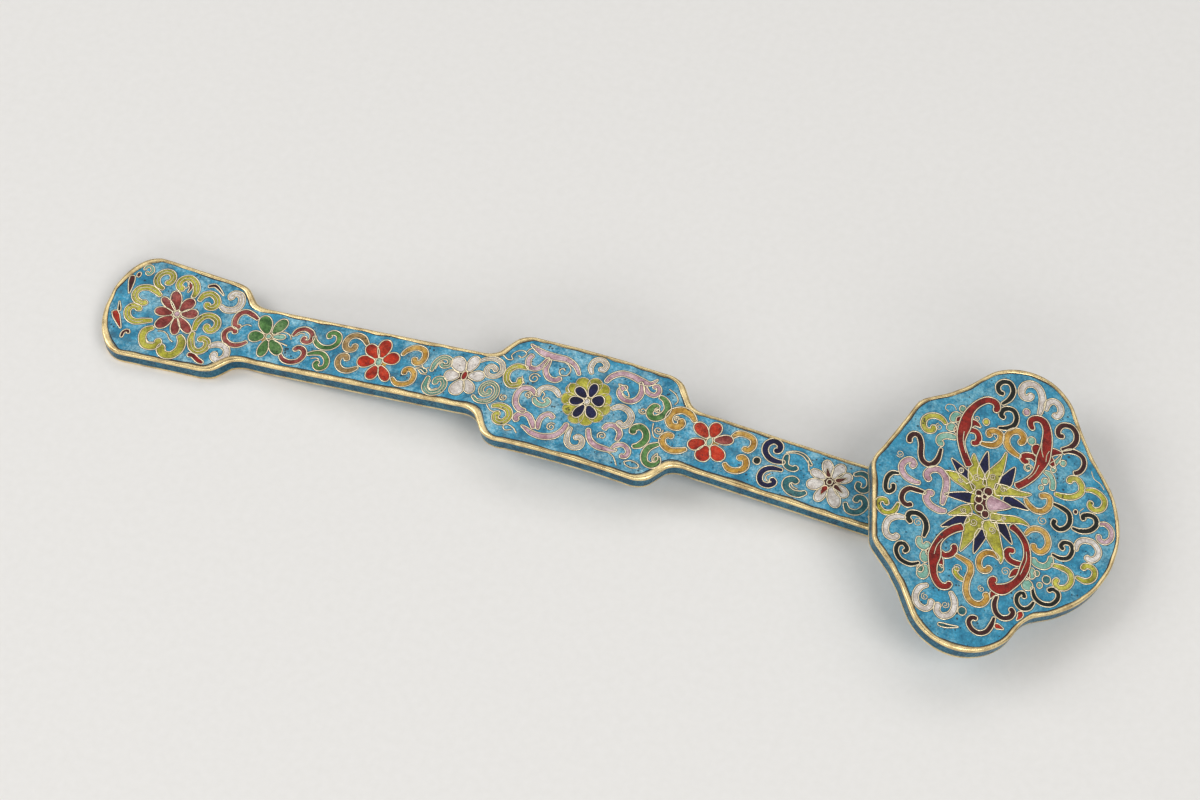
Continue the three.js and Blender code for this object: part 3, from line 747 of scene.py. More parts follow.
        # The dark lines beside the wires are painted shadow
        finish_piece(f"{self.name}_seams", self.wire_shadows, PAINTED_SHADOW, "copper")
        for colour, parts in self.fills.items():
            material, slot = COLOURS[colour]
            nodes = fill_nodes.get(colour, ())
            finish_piece(f"{self.name}_{colour}_enamel", parts, material, slot, *nodes)


# Tail: a maroon blossom in lime scrolls
tail = Drawing("tail", on_handle)
tail.dot("pink", 4.4, 27, 0.2, fenced=False)
tail.layer = 1
for width, base, tip in (
        (4.0, (26.5, 1.6), (22.6, 9.8)), (2.9, (25.7, 1.2), (18.9, 5.6)),
        (3.8, (25.4, 0), (18.4, -0.6)), (4.4, (26, -1.2), (21.6, -7.6)),
        (3.3, (27.4, -1.5), (29.8, -8.8)), (3.4, (28.3, -1), (35, -6.4)),
        (4.0, (28.6, 0.6), (34.8, 2.7)), (4.4, (27.8, 1.6), (30.8, 8.2))):
    tail.petal("maroon", width, base, tip)
tail.dot("pink", 1.2, 27.1, 0.2)
tail.layer = 0
tail.scroll("lime", 2.1, (18, 9.2), (15.2, 10.3), (13.8, 12.4), (14, 15), (15.8, 16.9), (18.2, 16.8),
            (19.5, 14.8), (18.9, 12.6), (17.2, 12.4), vein=True)
tail.scroll("lime", 2.3, (29.9, 8.8), (30.2, 11.8), (28.8, 15), (26, 16.8), (23.5, 15.8), (22.6, 13.5),
            (23.7, 11.6), (25.6, 11.6), vein=True)
tail.spear("maroon", 1.7, (26, 15), (27.5, 13), (27.2, 10.5))
for width, *points in (
        (2.2, (32.8, 8), (33.6, 11), (35.8, 12.5), (38.5, 11.5), (40, 9), (38.8, 6.8), (36.7, 6.9),
         (36.5, 8.6)),
        (2.2, (36, -5), (35.9, -1), (37.2, 2), (39.8, 3.2), (42.8, 2), (43.6, -1), (42, -3.2),
         (40.1, -2.4), (40.6, -0.7)),
        (2.2, (36.2, -5.4), (36.4, -8.5), (38.2, -12), (41, -13.2), (43.2, -11), (42.8, -8),
         (40.5, -7.2), (39.7, -8.8)),
        (2.2, (18.2, 5.8), (15.6, 7.4), (12.5, 8.2), (9.3, 7), (8.3, 4), (10, 1.6), (12.8, 1),
         (13.9, 2.4)),
        (2.2, (19.4, -5.2), (16, -6.5), (13, -7.6), (10, -6.5), (8.5, -3.6), (9.6, -1.3), (12, -1.4),
         (12.6, -2.9))):
    tail.scroll("lime", width, *points, vein=True)
tail.scroll("lime", 2.5, (21.2, -8), (18.7, -10), (18.5, -13), (20.6, -16.2), (24, -16.1),
            (25.3, -13.9), (24, -12.6))
tail.scroll("lime", 2.9, (31.4, -8.4), (33.6, -10.8), (34, -14.5), (32.1, -17.6), (29.1, -18),
            (27.2, -16), (28, -14.2))
tail.scroll("white", 2.3, (41.2, 8.7), (44, 7.4), (47.4, 8.5), (48.6, 11.5), (47.4, 14.8), (45, 15.4),
            (43.7, 13.8), (44.9, 12.6), vein=True)
tail.scroll("white", 2.2, (44.2, -10), (46.5, -8.2), (49.5, -8.1), (51.6, -10), (51.6, -12.9),
            (49.5, -14.6), (47.4, -13.4), (48.3, -11.6))
tail.spear("aubergine", 1.6, (33.6, 15.2), (36, 16.4), (38.6, 15), (40.8, 13.2))
tail.spear("russet", 2.8, (4.2, 11.6), (4.9, 8.4), (6, 3.6))
tail.dot("russet", 0.8, 6.3, 12.6, 1.3)
tail.spear("vermilion", 3.2, (3.8, -5.2), (6, -8), (9.2, -12))
tail.spear("forest", 1.2, (5.7, -5), (4.9, -3), (4, -0.8))
tail.scroll("russet", 1, (11, -15.8), (10.9, -13.4), (12.2, -12.2), (13, -13.4))
tail.scroll("mint", 1, (7.4, 15.2), (7.8, 17), (9.6, 17.3), (10.7, 15.4), (9.6, 13.8), (8.6, 14.8))
tail.scroll("red", 1.7, (45, -17.4), (42.5, -16.7), (40, -15.3), (37.8, -15.6))
for points in (
        ((25.4, 11.4), (26.2, 12.6), (26.2, 14.4), (24.8, 15)),
        ((23.2, -9), (25.2, -8.6), (27.2, -9.4), (28.6, -11), (30.4, -12)),
        ((20.2, -13.4), (21.6, -14.6), (23.4, -14.4)), ((52.6, 1.8), (54.4, 3.4), (56.2, 3.2))):
    tail.hook(points)
tail.lay(("tail_blossom_wire",), maroon=("tail_blossom_petals",))

# Upper shaft: green, red and white blossoms
upper = Drawing("upper_shaft", on_handle)
upper.dot("ochre", 3, 64.4, 0.4, fenced=False)
upper.layer = 1
for width, base, tip in (
        (5.0, (63.6, 1.3), (59.2, 8.8)), (4.3, (65.6, 1.8), (68.4, 9.2)),
        (4.3, (65.6, -0.8), (71.6, -6.4)), (3.8, (64.3, -1.2), (64.5, -9)),
        (4.7, (62.8, 0), (56.8, -1.4))):
    upper.petal("green", width, base, tip)
upper.petal("mint", 2.2, (66, 0.6), (71, 1.6))
upper.dot("mint", 1, 64.4, 0.4)
upper.layer = 0
for width, *points in (
        (1.9, (57.8, 6.6), (55, 8), (52, 8.7), (49.8, 7), (49.3, 4), (50.4, 1.6), (52.6, 1.8)),
        (1.8, (57.4, -3.8), (55, -6), (52, -6.7), (49, -5.4), (47.6, -2.6), (48.7, -0.4), (50.6, -0.1),
         (51.6, -1.8)),
        (1.7, (73.3, 2.6), (74.3, 5.4), (77, 6.8), (80, 5.7), (81.1, 3.1), (79.9, 1.3), (77.9, 1.8),
         (78.6, 3.6)),
        (1.8, (71.6, -6), (73.5, -8), (76.5, -8.7), (79.5, -7.4), (80.7, -4.5), (79.6, -2.2),
         (77.4, -1.8), (76.2, -3.5))):
    upper.scroll("maroon", width, *points)
upper.scroll("green", 1.8, (81.6, 4.6), (83, 2.2), (86, 0.5), (89.5, 1.1), (91.4, 3.6), (90.8, 6.7),
             (88.5, 7.7), (86.9, 6.4), (88, 5))
upper.scroll("green", 1.8, (81.8, -3.9), (84.5, -2.6), (87.5, -2.3), (90.1, -4.5), (90.5, -7.5),
             (88.4, -8.9), (86.6, -7.4), (87.6, -5.8))
upper.scroll("tan", 2, (103, 5.2), (100.5, 7.8), (97.5, 8.5), (95, 7), (94.4, 4), (96, 1.8),
             (98.3, 2.4), (98.2, 4.8))
upper.scroll("tan", 1.9, (103, -5), (100, -7.2), (97, -7.2), (94.7, -5), (94.6, -2.1), (96.6, -1.1),
             (97.8, -3.2))
upper.dot("ochre", 3.4, 109.8, -0.8, fenced=False)
upper.layer = 1
for width, base, tip in (
        (4.9, (110, 0.9), (109.6, 9.2)), (5.2, (111, 0.1), (116.9, 2.8)),
        (4.6, (108.8, 0.4), (103.2, 5.5)), (5.1, (108.4, -1.2), (101.6, -2.4)),
        (4.3, (109.5, -2.7), (108.7, -9.2)), (3.7, (110.9, -2.4), (115.9, -8.4))):
    upper.petal("vermilion", width, base, tip)
upper.dot("mint", 1.3, 109.8, -0.8, 1.3)
upper.layer = 0
upper.scroll("ochre", 2, (117.3, 3.8), (118.6, 6.4), (121.5, 8.4), (124.9, 7.8), (126.1, 5),
             (125.3, 2.4), (123.3, 2), (122.4, 4.2))
upper.scroll("ochre", 1.8, (117, -6.3), (119.5, -8.4), (122.5, -8.2), (124.8, -6.4), (124.8, -3.1),
             (122.9, -1.3), (121, -2), (121.1, -4.2))
upper.scroll("sage", 1.6, (130.6, -0.4), (130.9, 3.8), (132.9, 6.5), (135.6, 6.2), (136.1, 3.8),
             (134.2, 2.9), (133.2, 4.2), vein=True)
upper.scroll("sage", 1.9, (130.5, -2.6), (130.6, -7.4), (133.2, -9.5), (136.4, -8.3), (137.5, -5.2),
             (136.1, -2.8), (133.9, -3.4), (134, -5.6), vein=True)
upper.spear("teal", 1.6, (129, -1.4), (127, 0), (124.4, -0.4))
upper.dot("russet", 2.8, 143.4, 0.6, fenced=False)
upper.layer = 1
for width, base, tip in (
        (5.2, (142.4, 2), (137.4, 7.6)), (4.1, (144.3, 2.6), (145.3, 9.8)),
        (4.2, (145, 0.9), (151, 2.1)), (3.8, (144.6, -0.9), (148.6, -6.2)),
        (5.3, (143.3, -1.4), (142.1, -8.3)), (4.6, (141.7, 0.2), (136, -0.9))):
    upper.petal("white", width, base, tip)
upper.dot("red", 1.1, 143.5, 0.6, 1.6)
upper.layer = 0
upper.scroll("white", 1.5, (146.9, 7.8), (148.8, 9.4), (152, 10.3), (155.4, 8.9), (156.6, 5.5),
             (154.9, 2.9), (152, 2.9), (150.7, 5), (151.8, 6.9), (153.8, 6.2), (153.8, 4.9), vein=True)
upper.scroll("sage", 1.5, (149.4, -6.9), (152, -8.7), (156, -8), (157.8, -5), (157.1, -1.7),
             (154.5, -0.2), (152.2, -1.5), (151.7, -4), (153.3, -5.6), (155.1, -4.6), (154.6, -2.8),
             vein=True)
for points in (
        ((66.8, 2.4), (69, 3.6), (72, 3), (73.4, 1)), ((67.6, -1), (70.4, -1.4), (73, -2)),
        ((74.6, 3), (76, 4.6), (77.6, 4.6)), ((84, -5.4), (85.8, -4.6), (87.2, -5)),
        ((126.2, 1.6), (127.6, 0.2), (129.2, 1)), ((125.8, -1), (127.4, -2.2), (129.4, -2)),
        ((131.8, 1), (132.2, 3.4), (133.4, 5)), ((131.8, -4), (132, -6.8), (133.6, -8), (135.4, -7))):
    upper.hook(points)
upper.lay(("green_blossom_wire", "upper_red_blossom_wire", "upper_white_blossom_wire"),
          green=("green_blossom_petals",), vermilion=("upper_red_blossom_petals",),
          white=("upper_white_blossom_petals",))

# Middle panel: a lime flower with a navy heart, in rose scrolls
panel = Drawing("panel", on_handle)
middle = Vector((190.9, 1.6))
panel.gauge = FINE_WIRE
for tip in ((191.6, 12.2), (196, 10.4), (199, 5.6), (200, 0.2), (197.8, -5), (193.6, -8.2),
            (188.4, -8.6), (184, -5), (181.4, 0.4), (182, 6.2), (185.8, 10.8)):
    panel.petal("lime", 5.2, middle.lerp(Vector(tip), 0.35), tip)
panel.gauge = WIRE_WIDTH
panel.layer = 1
panel.dot("lime", 7.2, 190.9, 1.6, fenced=False)
panel.layer = 4
for width, base, tip in (
        (3.2, (191.4, 3.6), (191.5, 9.9)), (4.6, (192.2, 2.9), (197, 3.4)),
        (3.7, (191.7, 0.2), (195.4, -4.4)), (3.1, (190.4, 0), (188.4, -6.1)),
        (3.6, (189.8, 1.5), (184.6, 0)), (3.4, (190.2, 3), (185.3, 6.2))):
    panel.petal("navy", width, base, tip)
panel.dot("white", 1, 190.9, 1.6)
panel.layer = 0
panel.hook([(154.6, 12.6), (156.8, 11.2), (158.6, 11.6), (157.6, 13.2), (158.8, 15.2), (161, 16.2),
            (162.8, 15.2), (161.8, 13.2), (160.2, 13.6)])
panel.leaf("pink", (184.6, 11.4, 1.0), (182, 14.8, 1.5), (178, 16.6, 2.0), (173.4, 16.4, 2.5),
           (169.4, 16.8, 2.4), (166, 18, 1.5), (163, 19.6, 0.4))
panel.scroll("pink", 1.7, (171.4, 15.6), (170.4, 12), (168.5, 9.7), (165.6, 10), (164.4, 13),
             (165.4, 15.4))
panel.scroll("pink", 1.7, (172.2, 14.8), (171.9, 10.6), (173.8, 7.5), (176.8, 6.8), (178.6, 8.6))
panel.hook([(175.2, 15), (178.3, 15.1), (180.8, 12.9), (180.3, 10.2), (178.2, 9.6), (177, 11.2),
            (178, 12.6), (179, 11.8)])
panel.scroll("lime", 2.0, (165.6, 9), (161.4, 9.1), (159, 6.5), (159.2, 3), (161.6, 0.6), (164.4, 1.6),
             (164.2, 4.6), vein=True)
panel.curl(169.2, 5.6, 2.3, 0.6)
panel.scroll("pink", 1.9, (172.2, -1.4), (170, 0.7), (166.8, 0.5), (165.4, -2.4), (166, -6),
             (168.2, -8.4), (171, -9))
panel.scroll("white", 1.6, (180.9, 0.4), (178.4, 2.8), (175, 3.1), (172.9, 1.2), (173, -1.6), vein=True)
panel.scroll("mint", 1.6, (171.8, -2.4), (173.4, -4.3), (176, -4.7), (177.6, -2.9), (176, -1.6))
panel.curl(161, -5.1, 1.6, 2.4)
panel.scroll("lime", 2.2, (158, -9.8), (161, -8.9), (164.4, -9.8), (165.8, -12.6), (164.3, -15.4),
             (161.8, -15.2), (160.7, -13), (162.3, -12), vein=True)
panel.hook([(170.8, -18.6), (169, -16.8), (166.6, -16), (165.2, -17), (166.4, -18.4), (168.6, -17.6)])
panel.scroll("pink", 1.8, (176.2, -15.2), (174.6, -12.4), (172.4, -10.2), (169.6, -10.1),
             (168.2, -12.2), (169.6, -13.6))
panel.leaf("pink", (187.2, -9.2, 1.5), (186.4, -12.8, 1.8), (184, -16, 2.1), (180, -17.4, 2.1),
           (176, -17, 1.8), (173, -15.6, 1.0), (171.4, -15, 0.4))
panel.scroll("pink", 1.6, (177.8, -15), (177, -11.8), (177.8, -8.9), (179.8, -7.6), (181.8, -9))
panel.curl(182, -12.5, 1.8, 1)
panel.scroll("white", 1.6, (188.8, 13.4), (187.4, 16), (188.1, 19.4), (190.5, 20.3), (192.6, 18.8),
             (192.2, 16.5), (190.4, 16.6), vein=True)
panel.scroll("white", 1.6, (189, -10.4), (188.9, -14), (189.7, -17), (192, -18.4), (194.6, -17.2),
             (194.6, -14.5), (192.8, -13.4), (191.6, -14.8), vein=True)
panel.leaf("pink", (194.6, 11.6, 1.3), (196, 14.8, 1.8), (199, 17.2, 2.0), (203, 17.4, 2.2),
           (207, 16.6, 2.4), (210.2, 16.8, 1.3), (212.2, 19.4, 0.3))
panel.scroll("pink", 1.7, (206.6, 16.2), (208.2, 13), (208, 9.6), (206, 7.2), (203, 7), (200.8, 9),
             (201.2, 11.6), (203, 11.8))
panel.scroll("pink", 1.5, (208.4, 15.4), (210.4, 12.9), (213, 12.6), (214.2, 14.6), (213, 16.6),
             (211.6, 15.4))
panel.scroll("white", 1.9, (200.2, 1.6), (202.8, 3.6), (206, 3.2), (208.1, 1), (207.8, -2.3),
             (205.8, -3.7), (204.1, -2.3), vein=True)
panel.scroll("pink", 1.7, (206.2, -10.4), (206.4, -7), (204, -4.8), (201.2, -5.4), (200.4, -7.6))
panel.leaf("pink", (195, -8.8, 1.3), (196.6, -12.6, 1.7), (199.6, -14.8, 2.0), (203.6, -15, 1.8),
           (206.4, -14.6, 0.8), (207.6, -13.8, 0.4))
panel.scroll("pink", 1.5, (205.6, -14), (207, -11.8), (209.4, -11.2), (211.6, -12.8), (211.3, -15.3),
             (209.2, -15.7))
panel.curl(200.6, -10.2, 1.7, 4, -1)
panel.hook([(204.6, -15.8), (207, -16.8), (208.4, -18.4), (209.4, -20)])
for width, *points in (
        (2.3, (214.9, 12.9), (217.6, 11.9), (219.4, 8.8), (218.3, 5.2), (215.5, 3.4), (213.6, 5.2),
         (214.6, 8.2), (216.4, 7.6)),
        (2.3, (212.2, -10.6), (214.6, -9), (215.9, -6), (214.9, -3), (212.4, -1.7), (210.4, -3.4),
         (211, -5.6)),
        (2.1, (221.2, -6), (218.2, -8.6), (217.4, -12), (218.6, -14.9), (221, -15.6), (222.8, -13.8),
         (221.9, -11.2))):
    panel.scroll("green", width, *points)
panel.curl(211.2, 4.9, 1.5, 3)
panel.curl(219, -0.8, 1.7, 0.4, -1)
for points in (
        ((211.4, -17.6), (213.6, -16.3), (216.4, -16.7), (217, -18), (214.8, -19), (212.4, -18.6),
         (211.6, -17.4)),
        ((199.4, 12.8), (200.8, 10.4), (203.2, 8.6), (204.6, 8.8), (203.4, 10.8), (201, 12.6),
         (199.6, 12.6)),
        ((221.7, -10), (222.6, -12.4), (221.4, -14), (220.5, -12.2), (221.5, -10.2)),
        ((164.6, 5.4), (165.2, 3.8), (166.4, 2.6)),
        ((183.6, 3.6), (182.4, 5.2), (182.6, 7.4)),
        ((216.4, 1.4), (217, -1.6), (218.6, -4), (221, -3.8)),
        ((173.6, 1.2), (175.2, 0), (175, -1.8), (176.6, -3)),
        ((156, -9.6), (157.8, -11.4), (159.6, -12)),
        ((217.4, 17), (220.2, 15.8), (221.8, 13.6), (221.2, 11.6)),
        ((166.2, 19.4), (163.4, 17.4), (162.6, 16))):
    panel.hook(points)
panel.curl(169.3, -2, 1.4, 5)
panel.curl(216.2, 7, 1.2, 2)
panel.curl(223.8, 6.2, 1.1, 1)
panel.lay(("panel_flower_wire", "panel_heart_wire"), lime=("panel_flower_petals",),
          navy=("panel_heart_petals",))

# Lower shaft: red and white blossoms, darker scrolls towards the head
lower = Drawing("lower_shaft", on_handle)
lower.scroll("ochre", 2.5, (230.6, 7.2), (228, 9.7), (224.5, 10.3), (221.6, 8.3), (221, 5.3),
             (222.6, 2.9), (225, 3), (226, 5), (224.6, 6.4))
lower.scroll("ochre", 2.1, (231, -4.4), (228.5, -6.2), (225.5, -7.1), (222.6, -5.9), (221.4, -3.4),
             (222.9, -1.3), (225, -1.8))
lower.dot("ochre", 3.4, 237.8, 1.3, fenced=False)
lower.layer = 1
lower.petal("vermilion", 4.4, (238, 3.2), (238.5, 10))
lower.petal("vermilion", 4.6, (236.7, 2.6), (230.9, 7.2))
lower.petal("maroon", 3.8, (239.2, 2.4), (245.7, 5.2))
for width, base, tip in (
        (4.6, (236.3, 0.9), (231, -3.2)), (5.3, (237.4, -0.6), (236.9, -7.6)),
        (5.2, (239.2, 0.3), (244.2, -4.8))):
    lower.petal("vermilion", width, base, tip)
lower.dot("mint", 1.1, 237.8, 1.3, 1.6)
lower.layer = 0
lower.scroll("ochre", 2.0, (244.9, 6), (246.6, 8.3), (249.5, 8.8), (252.4, 7.8), (253.1, 5),
             (251.7, 2.8), (249.9, 3.6))
lower.scroll("ochre", 2.1, (245.3, -5), (247.5, -6.9), (250.5, -6.7), (252.9, -4.5), (252.6, -1.7),
             (250.9, -0.6), (249.4, -2))
lower.dot("forest", 1.4, 256.2, 0)
lower.scroll("navy", 2.1, (266, 3), (263, 2.2), (260, 2.7), (257.8, 5), (257.7, 8), (259.7, 10),
             (262.2, 9.2), (262.4, 6.9), (260.6, 6.2))
lower.scroll("navy", 1.9, (266.2, -0.5), (262, -1.1), (259.6, -3), (259.1, -6), (260.6, -8.3),
             (263.3, -8.2), (264.7, -6.3), (262.9, -5.2))
lower.scroll("teal", 1.9, (265.8, 6.6), (266, 3.5), (267.1, 1.6), (269.5, 1.4), (270.7, 2.9))
lower.spear("teal", 1.2, (275.4, 5), (272, 8), (268.4, 8.4), (265.2, 7))
lower.scroll("teal", 2.4, (276.8, -6), (274.5, -7.8), (271.5, -8), (269.2, -6.5), (268.9, -4.1),
             (270.8, -2.7), (272.8, -3.8))
lower.dot("russet", 3.8, 283.4, 0.8, fenced=False)
lower.layer = 1
for width, base, tip in (
        (3.7, (282.7, 2.7), (279.9, 9.3)), (4.0, (284.1, 2.7), (286.2, 9.5)),
        (3.8, (285.3, 2), (290.4, 6.2)), (4.0, (285.3, 0.3), (291.1, -2.6)),
        (4.4, (284.3, -0.9), (288.7, -8.3)), (3.5, (282.9, -1), (280.9, -8.3)),
        (4.3, (281.7, 0.1), (276, -3.2)), (3.2, (281.7, 1.7), (275.7, 3.2))):
    lower.petal("white", width, base, tip)
lower.dot("russet", 1, 283.4, 0.9)
lower.layer = 2
lower.gauge = FINE_WIRE
lower.spear("russet", 2.5, (284.8, 1.6), (286.6, 2.8), (288.8, 4.6))
lower.spear("red", 2.7, (282.9, -0.9), (282.3, -3), (281.8, -5.2))
lower.spear("russet", 2.2, (285.1, 0.3), (287, -0.7), (289.2, -1.8))
lower.spear("russet", 2.1, (282.8, 2.5), (281.8, 4.2), (281, 6.2))
lower.gauge = WIRE_WIDTH
lower.layer = 0
lower.scroll("teal", 1.9, (290.8, 6.8), (293.4, 8.4), (296.3, 7.4), (297.4, 4.2), (295.9, 1.8),
             (293.6, 2.4), (293.6, 4.8))
lower.scroll("teal", 2.0, (291, -5), (293, -7.8), (296.4, -7.3), (298.2, -4), (297, -1.4),
             (294.8, -1.5), (294.4, -3.8))
for side in (1, -1):
    lower.scroll("navy", 2.0, (300.6, 7 * side), (303.6, 8.2 * side), (306.6, 6.4 * side),
                 (307, 3 * side), (304.4, 1.6 * side), (302.8, 3.8 * side))
for points in (
        ((262.4, -3.4), (261.2, -5), (262.2, -6.6), (263.6, -6.4)),
        ((270.4, -4.4), (271.6, -5.6), (273.4, -6)), ((273.6, 6.6), (274.6, 4), (275.2, 2.6))):
    lower.hook(points)
lower.lay(("lower_red_blossom_wire", "lower_white_blossom_wire"),
          vermilion=("lower_red_blossom_petals",), white=("lower_white_blossom_petals",))

# Head: a lotus between four scrolled red leaves
head = Drawing("head", on_head_drawing)
for width, *points in (
        (5.4, (-6, 11), (-6.8, 16.6), (-7.2, 22.4)), (6, (1.6, 11), (2.6, 15.2), (3.8, 20.6)),
        (5.4, (-9.6, 8), (-13.6, 10.8), (-18.6, 14.2)), (5.4, (-5.2, 2.4), (-10.4, 1.4), (-17, -0.5)),
        (4.8, (3.2, 6.6), (8, 6.8), (13, 6.3)), (4.8, (3.6, -2.6), (7, -5.4), (11, -9.2)),
        (5, (-0.2, -8), (-0.5, -12.6), (-0.7, -18.4)), (5, (-6.4, -5.4), (-10.2, -9), (-14.6, -13.2))):
    head.spear("navy", width, *points)
head.dot("white", 0.8, -14, 11.1)
head.layer = 1
for points in (
        ((-2.8, 8.6, 4.6), (-2.7, 13, 5.2), (-1.6, 17.4, 3.6), (-0.9, 21.2, 1.6), (-0.8, 25, 0.4)),
        ((-5.4, 6.4, 5), (-8, 10.8, 6), (-10, 14.8, 3.6), (-11.6, 19.4, 0.4)),
        ((-7.6, 5.2, 3), (-11.6, 6.8, 3.4), (-15.4, 7.8, 3.4), (-19.4, 8.4, 0.4)),
        ((-0.8, 9, 4.4), (2.8, 10, 4), (6, 10.6, 2.6), (9.4, 11.4, 1.8), (12.2, 12.7, 0.4)),
        ((0.8, -2.4, 3.6), (5, -1.2, 3), (9, 0.3, 2.6), (12, 0.8, 1.6), (14.8, 0.3, 0.4)),
        ((0.6, -3.6, 5), (3.2, -8.2, 5.2), (6.2, -12.4, 3.6), (8.4, -15.2, 2.2), (9.3, -18.2, 0.4)),
        ((-3.6, -3.6, 5.2), (-4.1, -8.4, 5.6), (-4.6, -14, 3.4), (-5.5, -19.6, 0.4)),
        ((-6, -2.4, 4), (-8.6, -3.7, 3.8), (-10.8, -5.4, 2.4), (-13.6, -7.6, 0.4))):
    head.leaf("lime", *points)
head.layer = 2
head.dot("lime", 5.4, -2.4, 3, 1.15, fenced=False)
head.layer = 3
head.gauge = FINE_WIRE
for x, y, radius, turn in (
        (-8, 10.4, 1.5, 1), (2.2, 10.1, 1.2, 0), (-4.2, -6.8, 1.5, 4), (2.8, -7, 1.4, 5),
        (-13, 7.2, 1, 3), (5.4, -1, 0.9, 0), (-8.8, -3.8, 1.1, 3), (-2.6, 13.2, 1.3, 1)):
    head.curl(x, y, radius, turn)
head.gauge = WIRE_WIDTH
head.layer = 5
head.dot("russet", 3.4, -3, 2.8, 1.65, fenced=False)
head.layer = 6
for x, y, radius in ((-2.6, 7, 1.6), (-5.6, 5, 1.2), (-5, 2.6, 1.4), (-3.8, -0.5, 1.5), (-1.2, -2, 1.4),
                     (-3.2, 4.6, 0.9)):
    head.dot("russet", radius, x, y)
head.layer = 7
head.drop("pink", 6, (-2.2, 2.7), (1, 3.2), (6.8, 4.6))

# The four red leaves
head.layer = 1
for width, *points in (
        (1.9, (-17, 26.2), (-15.4, 28), (-13, 28.1), (-11.6, 26), (-12, 24), (-13.8, 23.2)),
        (2.1, (11, 26), (8.6, 27.4), (5.8, 26.6), (5.6, 24.8), (8, 24.2)),
        (2.0, (-12.6, -22.2), (-10.4, -23.5), (-8.2, -22.1), (-7.5, -19.6), (-8.8, -18.2)),
        (2.0, (17, -14.8), (14.5, -15.7), (11.7, -15.4), (10.1, -13.5), (10.8, -11.7), (12.8, -11.8))):
    head.scroll("red", width, *points)
head.spear("red", 4.2, (-17.6, 29.4), (-14.8, 31.4), (-12.2, 30.6))
for width, base, tip in (
        (3.6, (-18, 27.4), (-20.6, 31.8)), (3.0, (-18, 23.8), (-20.4, 27.4)),
        (3.8, (11.8, 27.6), (8, 32.6))):
    head.petal("red", width, base, tip)
for width, *points in (
        (4.4, (12.6, 31), (15.2, 32.5), (18.4, 33.4)), (4.4, (12.8, 29.2), (15, 28.4), (17.4, 26.4)),
        (3.8, (-13.6, -24.8), (-11.2, -26), (-9.6, -28.4))):
    head.spear("red", width, *points)
head.petal("red", 3.0, (-13.8, -22), (-16, -26))
head.petal("red", 3.2, (17.2, -16), (19.6, -20.4))
head.spear("red", 3.4, (16.6, -18), (14.8, -19.6), (13.6, -22))
head.spear("red", 3.6, (12, -28.4), (10, -30.2), (9.6, -32.6))
head.layer = 6
for points in (
        ((-11.6, 13.6, 2.5), (-14.6, 17.4, 2.3), (-17, 21.4, 2.3), (-17.8, 25, 3.4), (-17.8, 29, 4.2),
         (-18, 33, 3.2), (-17, 37, 2.4), (-15, 40.4, 2.3), (-12.6, 42.5, 2.3), (-10, 42.4, 2.4),
         (-8.8, 40.6, 2.2), (-9.6, 38.8, 1.8)),
        ((6, 13, 2.5), (8.6, 16, 2.3), (11, 20, 2.3), (12, 24, 3.2), (12.3, 28, 4.6), (12.2, 32, 4),
         (11.7, 36, 3.5), (10.5, 40, 2.8), (8.5, 42.6, 2.6), (6, 42.9, 2.3), (4.2, 41.4, 2.1),
         (4.4, 39.4, 2), (6, 37.8, 1.7)),
        ((-7, -10, 2.6), (-10, -12.4, 2.6), (-12.6, -16, 2.4), (-13.9, -20, 2.5), (-13.6, -24.6, 4.2),
         (-12.9, -29, 2.7), (-11.3, -32.8, 2.3), (-8.6, -35.2, 2.4), (-6, -34.6, 2.1),
         (-5.4, -32.4, 1.8)),
        ((8.4, -2.4, 2.6), (12, -3.9, 2), (15.4, -7, 2), (17.4, -11.5, 2.3), (17.8, -16, 3.2),
         (17.3, -20.5, 2.6), (15.4, -24.5, 2.6), (12.6, -27.6, 3.8), (9.6, -28, 3), (8.2, -26, 2.5),
         (9.6, -24.4, 2))):
    head.leaf("red", *points)
head.gauge = FINE_WIRE
for points in (
        ((-14.4, 18.4), (-16.6, 22.4), (-17.4, 26.4)), ((10.2, 34), (11, 31), (12.2, 28.8)),
        ((13.6, 27.4), (13.2, 30), (13.6, 32)), ((9.4, 18), (11, 21.2), (11.6, 25)),
        ((-12.6, -17.6), (-13.8, -21), (-13.8, -24.6)),
        ((16.6, -10), (17.5, -13), (17.3, -16.4), (17, -19.4))):
    head.hook(points)
head.gauge = WIRE_WIDTH
head.layer = 0

# Scrolls between the leaves and the rim, colour by colour
for width, *points in (
        (2, (-10.8, 24.6), (-8, 25), (-5.4, 26.2), (-4.2, 28.8), (-4.8, 31), (-7, 31.5), (-8.9, 30),
         (-7.8, 28.4)),
        (2.2, (4.6, 25.4), (2, 25.9), (-0.9, 27.5), (-2.3, 30.5), (-1.4, 33.6), (1, 35), (3.3, 33.8),
         (3.4, 31.5), (1.9, 30.8)),
        (1.9, (10.6, 10.4), (12, 8.6), (15, 7.2), (17.9, 8.1), (19.4, 11), (18.8, 14), (17, 14.4),
         (15.2, 13)),
        (1.9, (14.4, -3.8), (15.6, -1), (18, 0.5), (21, -0.1), (23, -3), (22.9, -6), (21.3, -7.9),
         (18.9, -7.5), (18.3, -5.6)),
        (1.9, (8.4, -16.8), (6.3, -15.7), (3.6, -16.1), (1.9, -18.5), (2, -21.4), (3.6, -23.3),
         (5.6, -22.6), (6, -20.6)),
        (2, (-6.8, -21.7), (-3.5, -22.2), (-0.9, -23.1), (0.2, -25.6), (0, -29), (0.6, -33),
         (2.5, -35.9), (5, -36.8), (7.5, -35.7), (8.4, -33), (7, -31.3))):
    head.scroll("ochre", width, *points)
head.scroll("lime", 1.5, (-1, -29.8), (-3.4, -29.4), (-5.2, -27.6), (-4, -26.2))

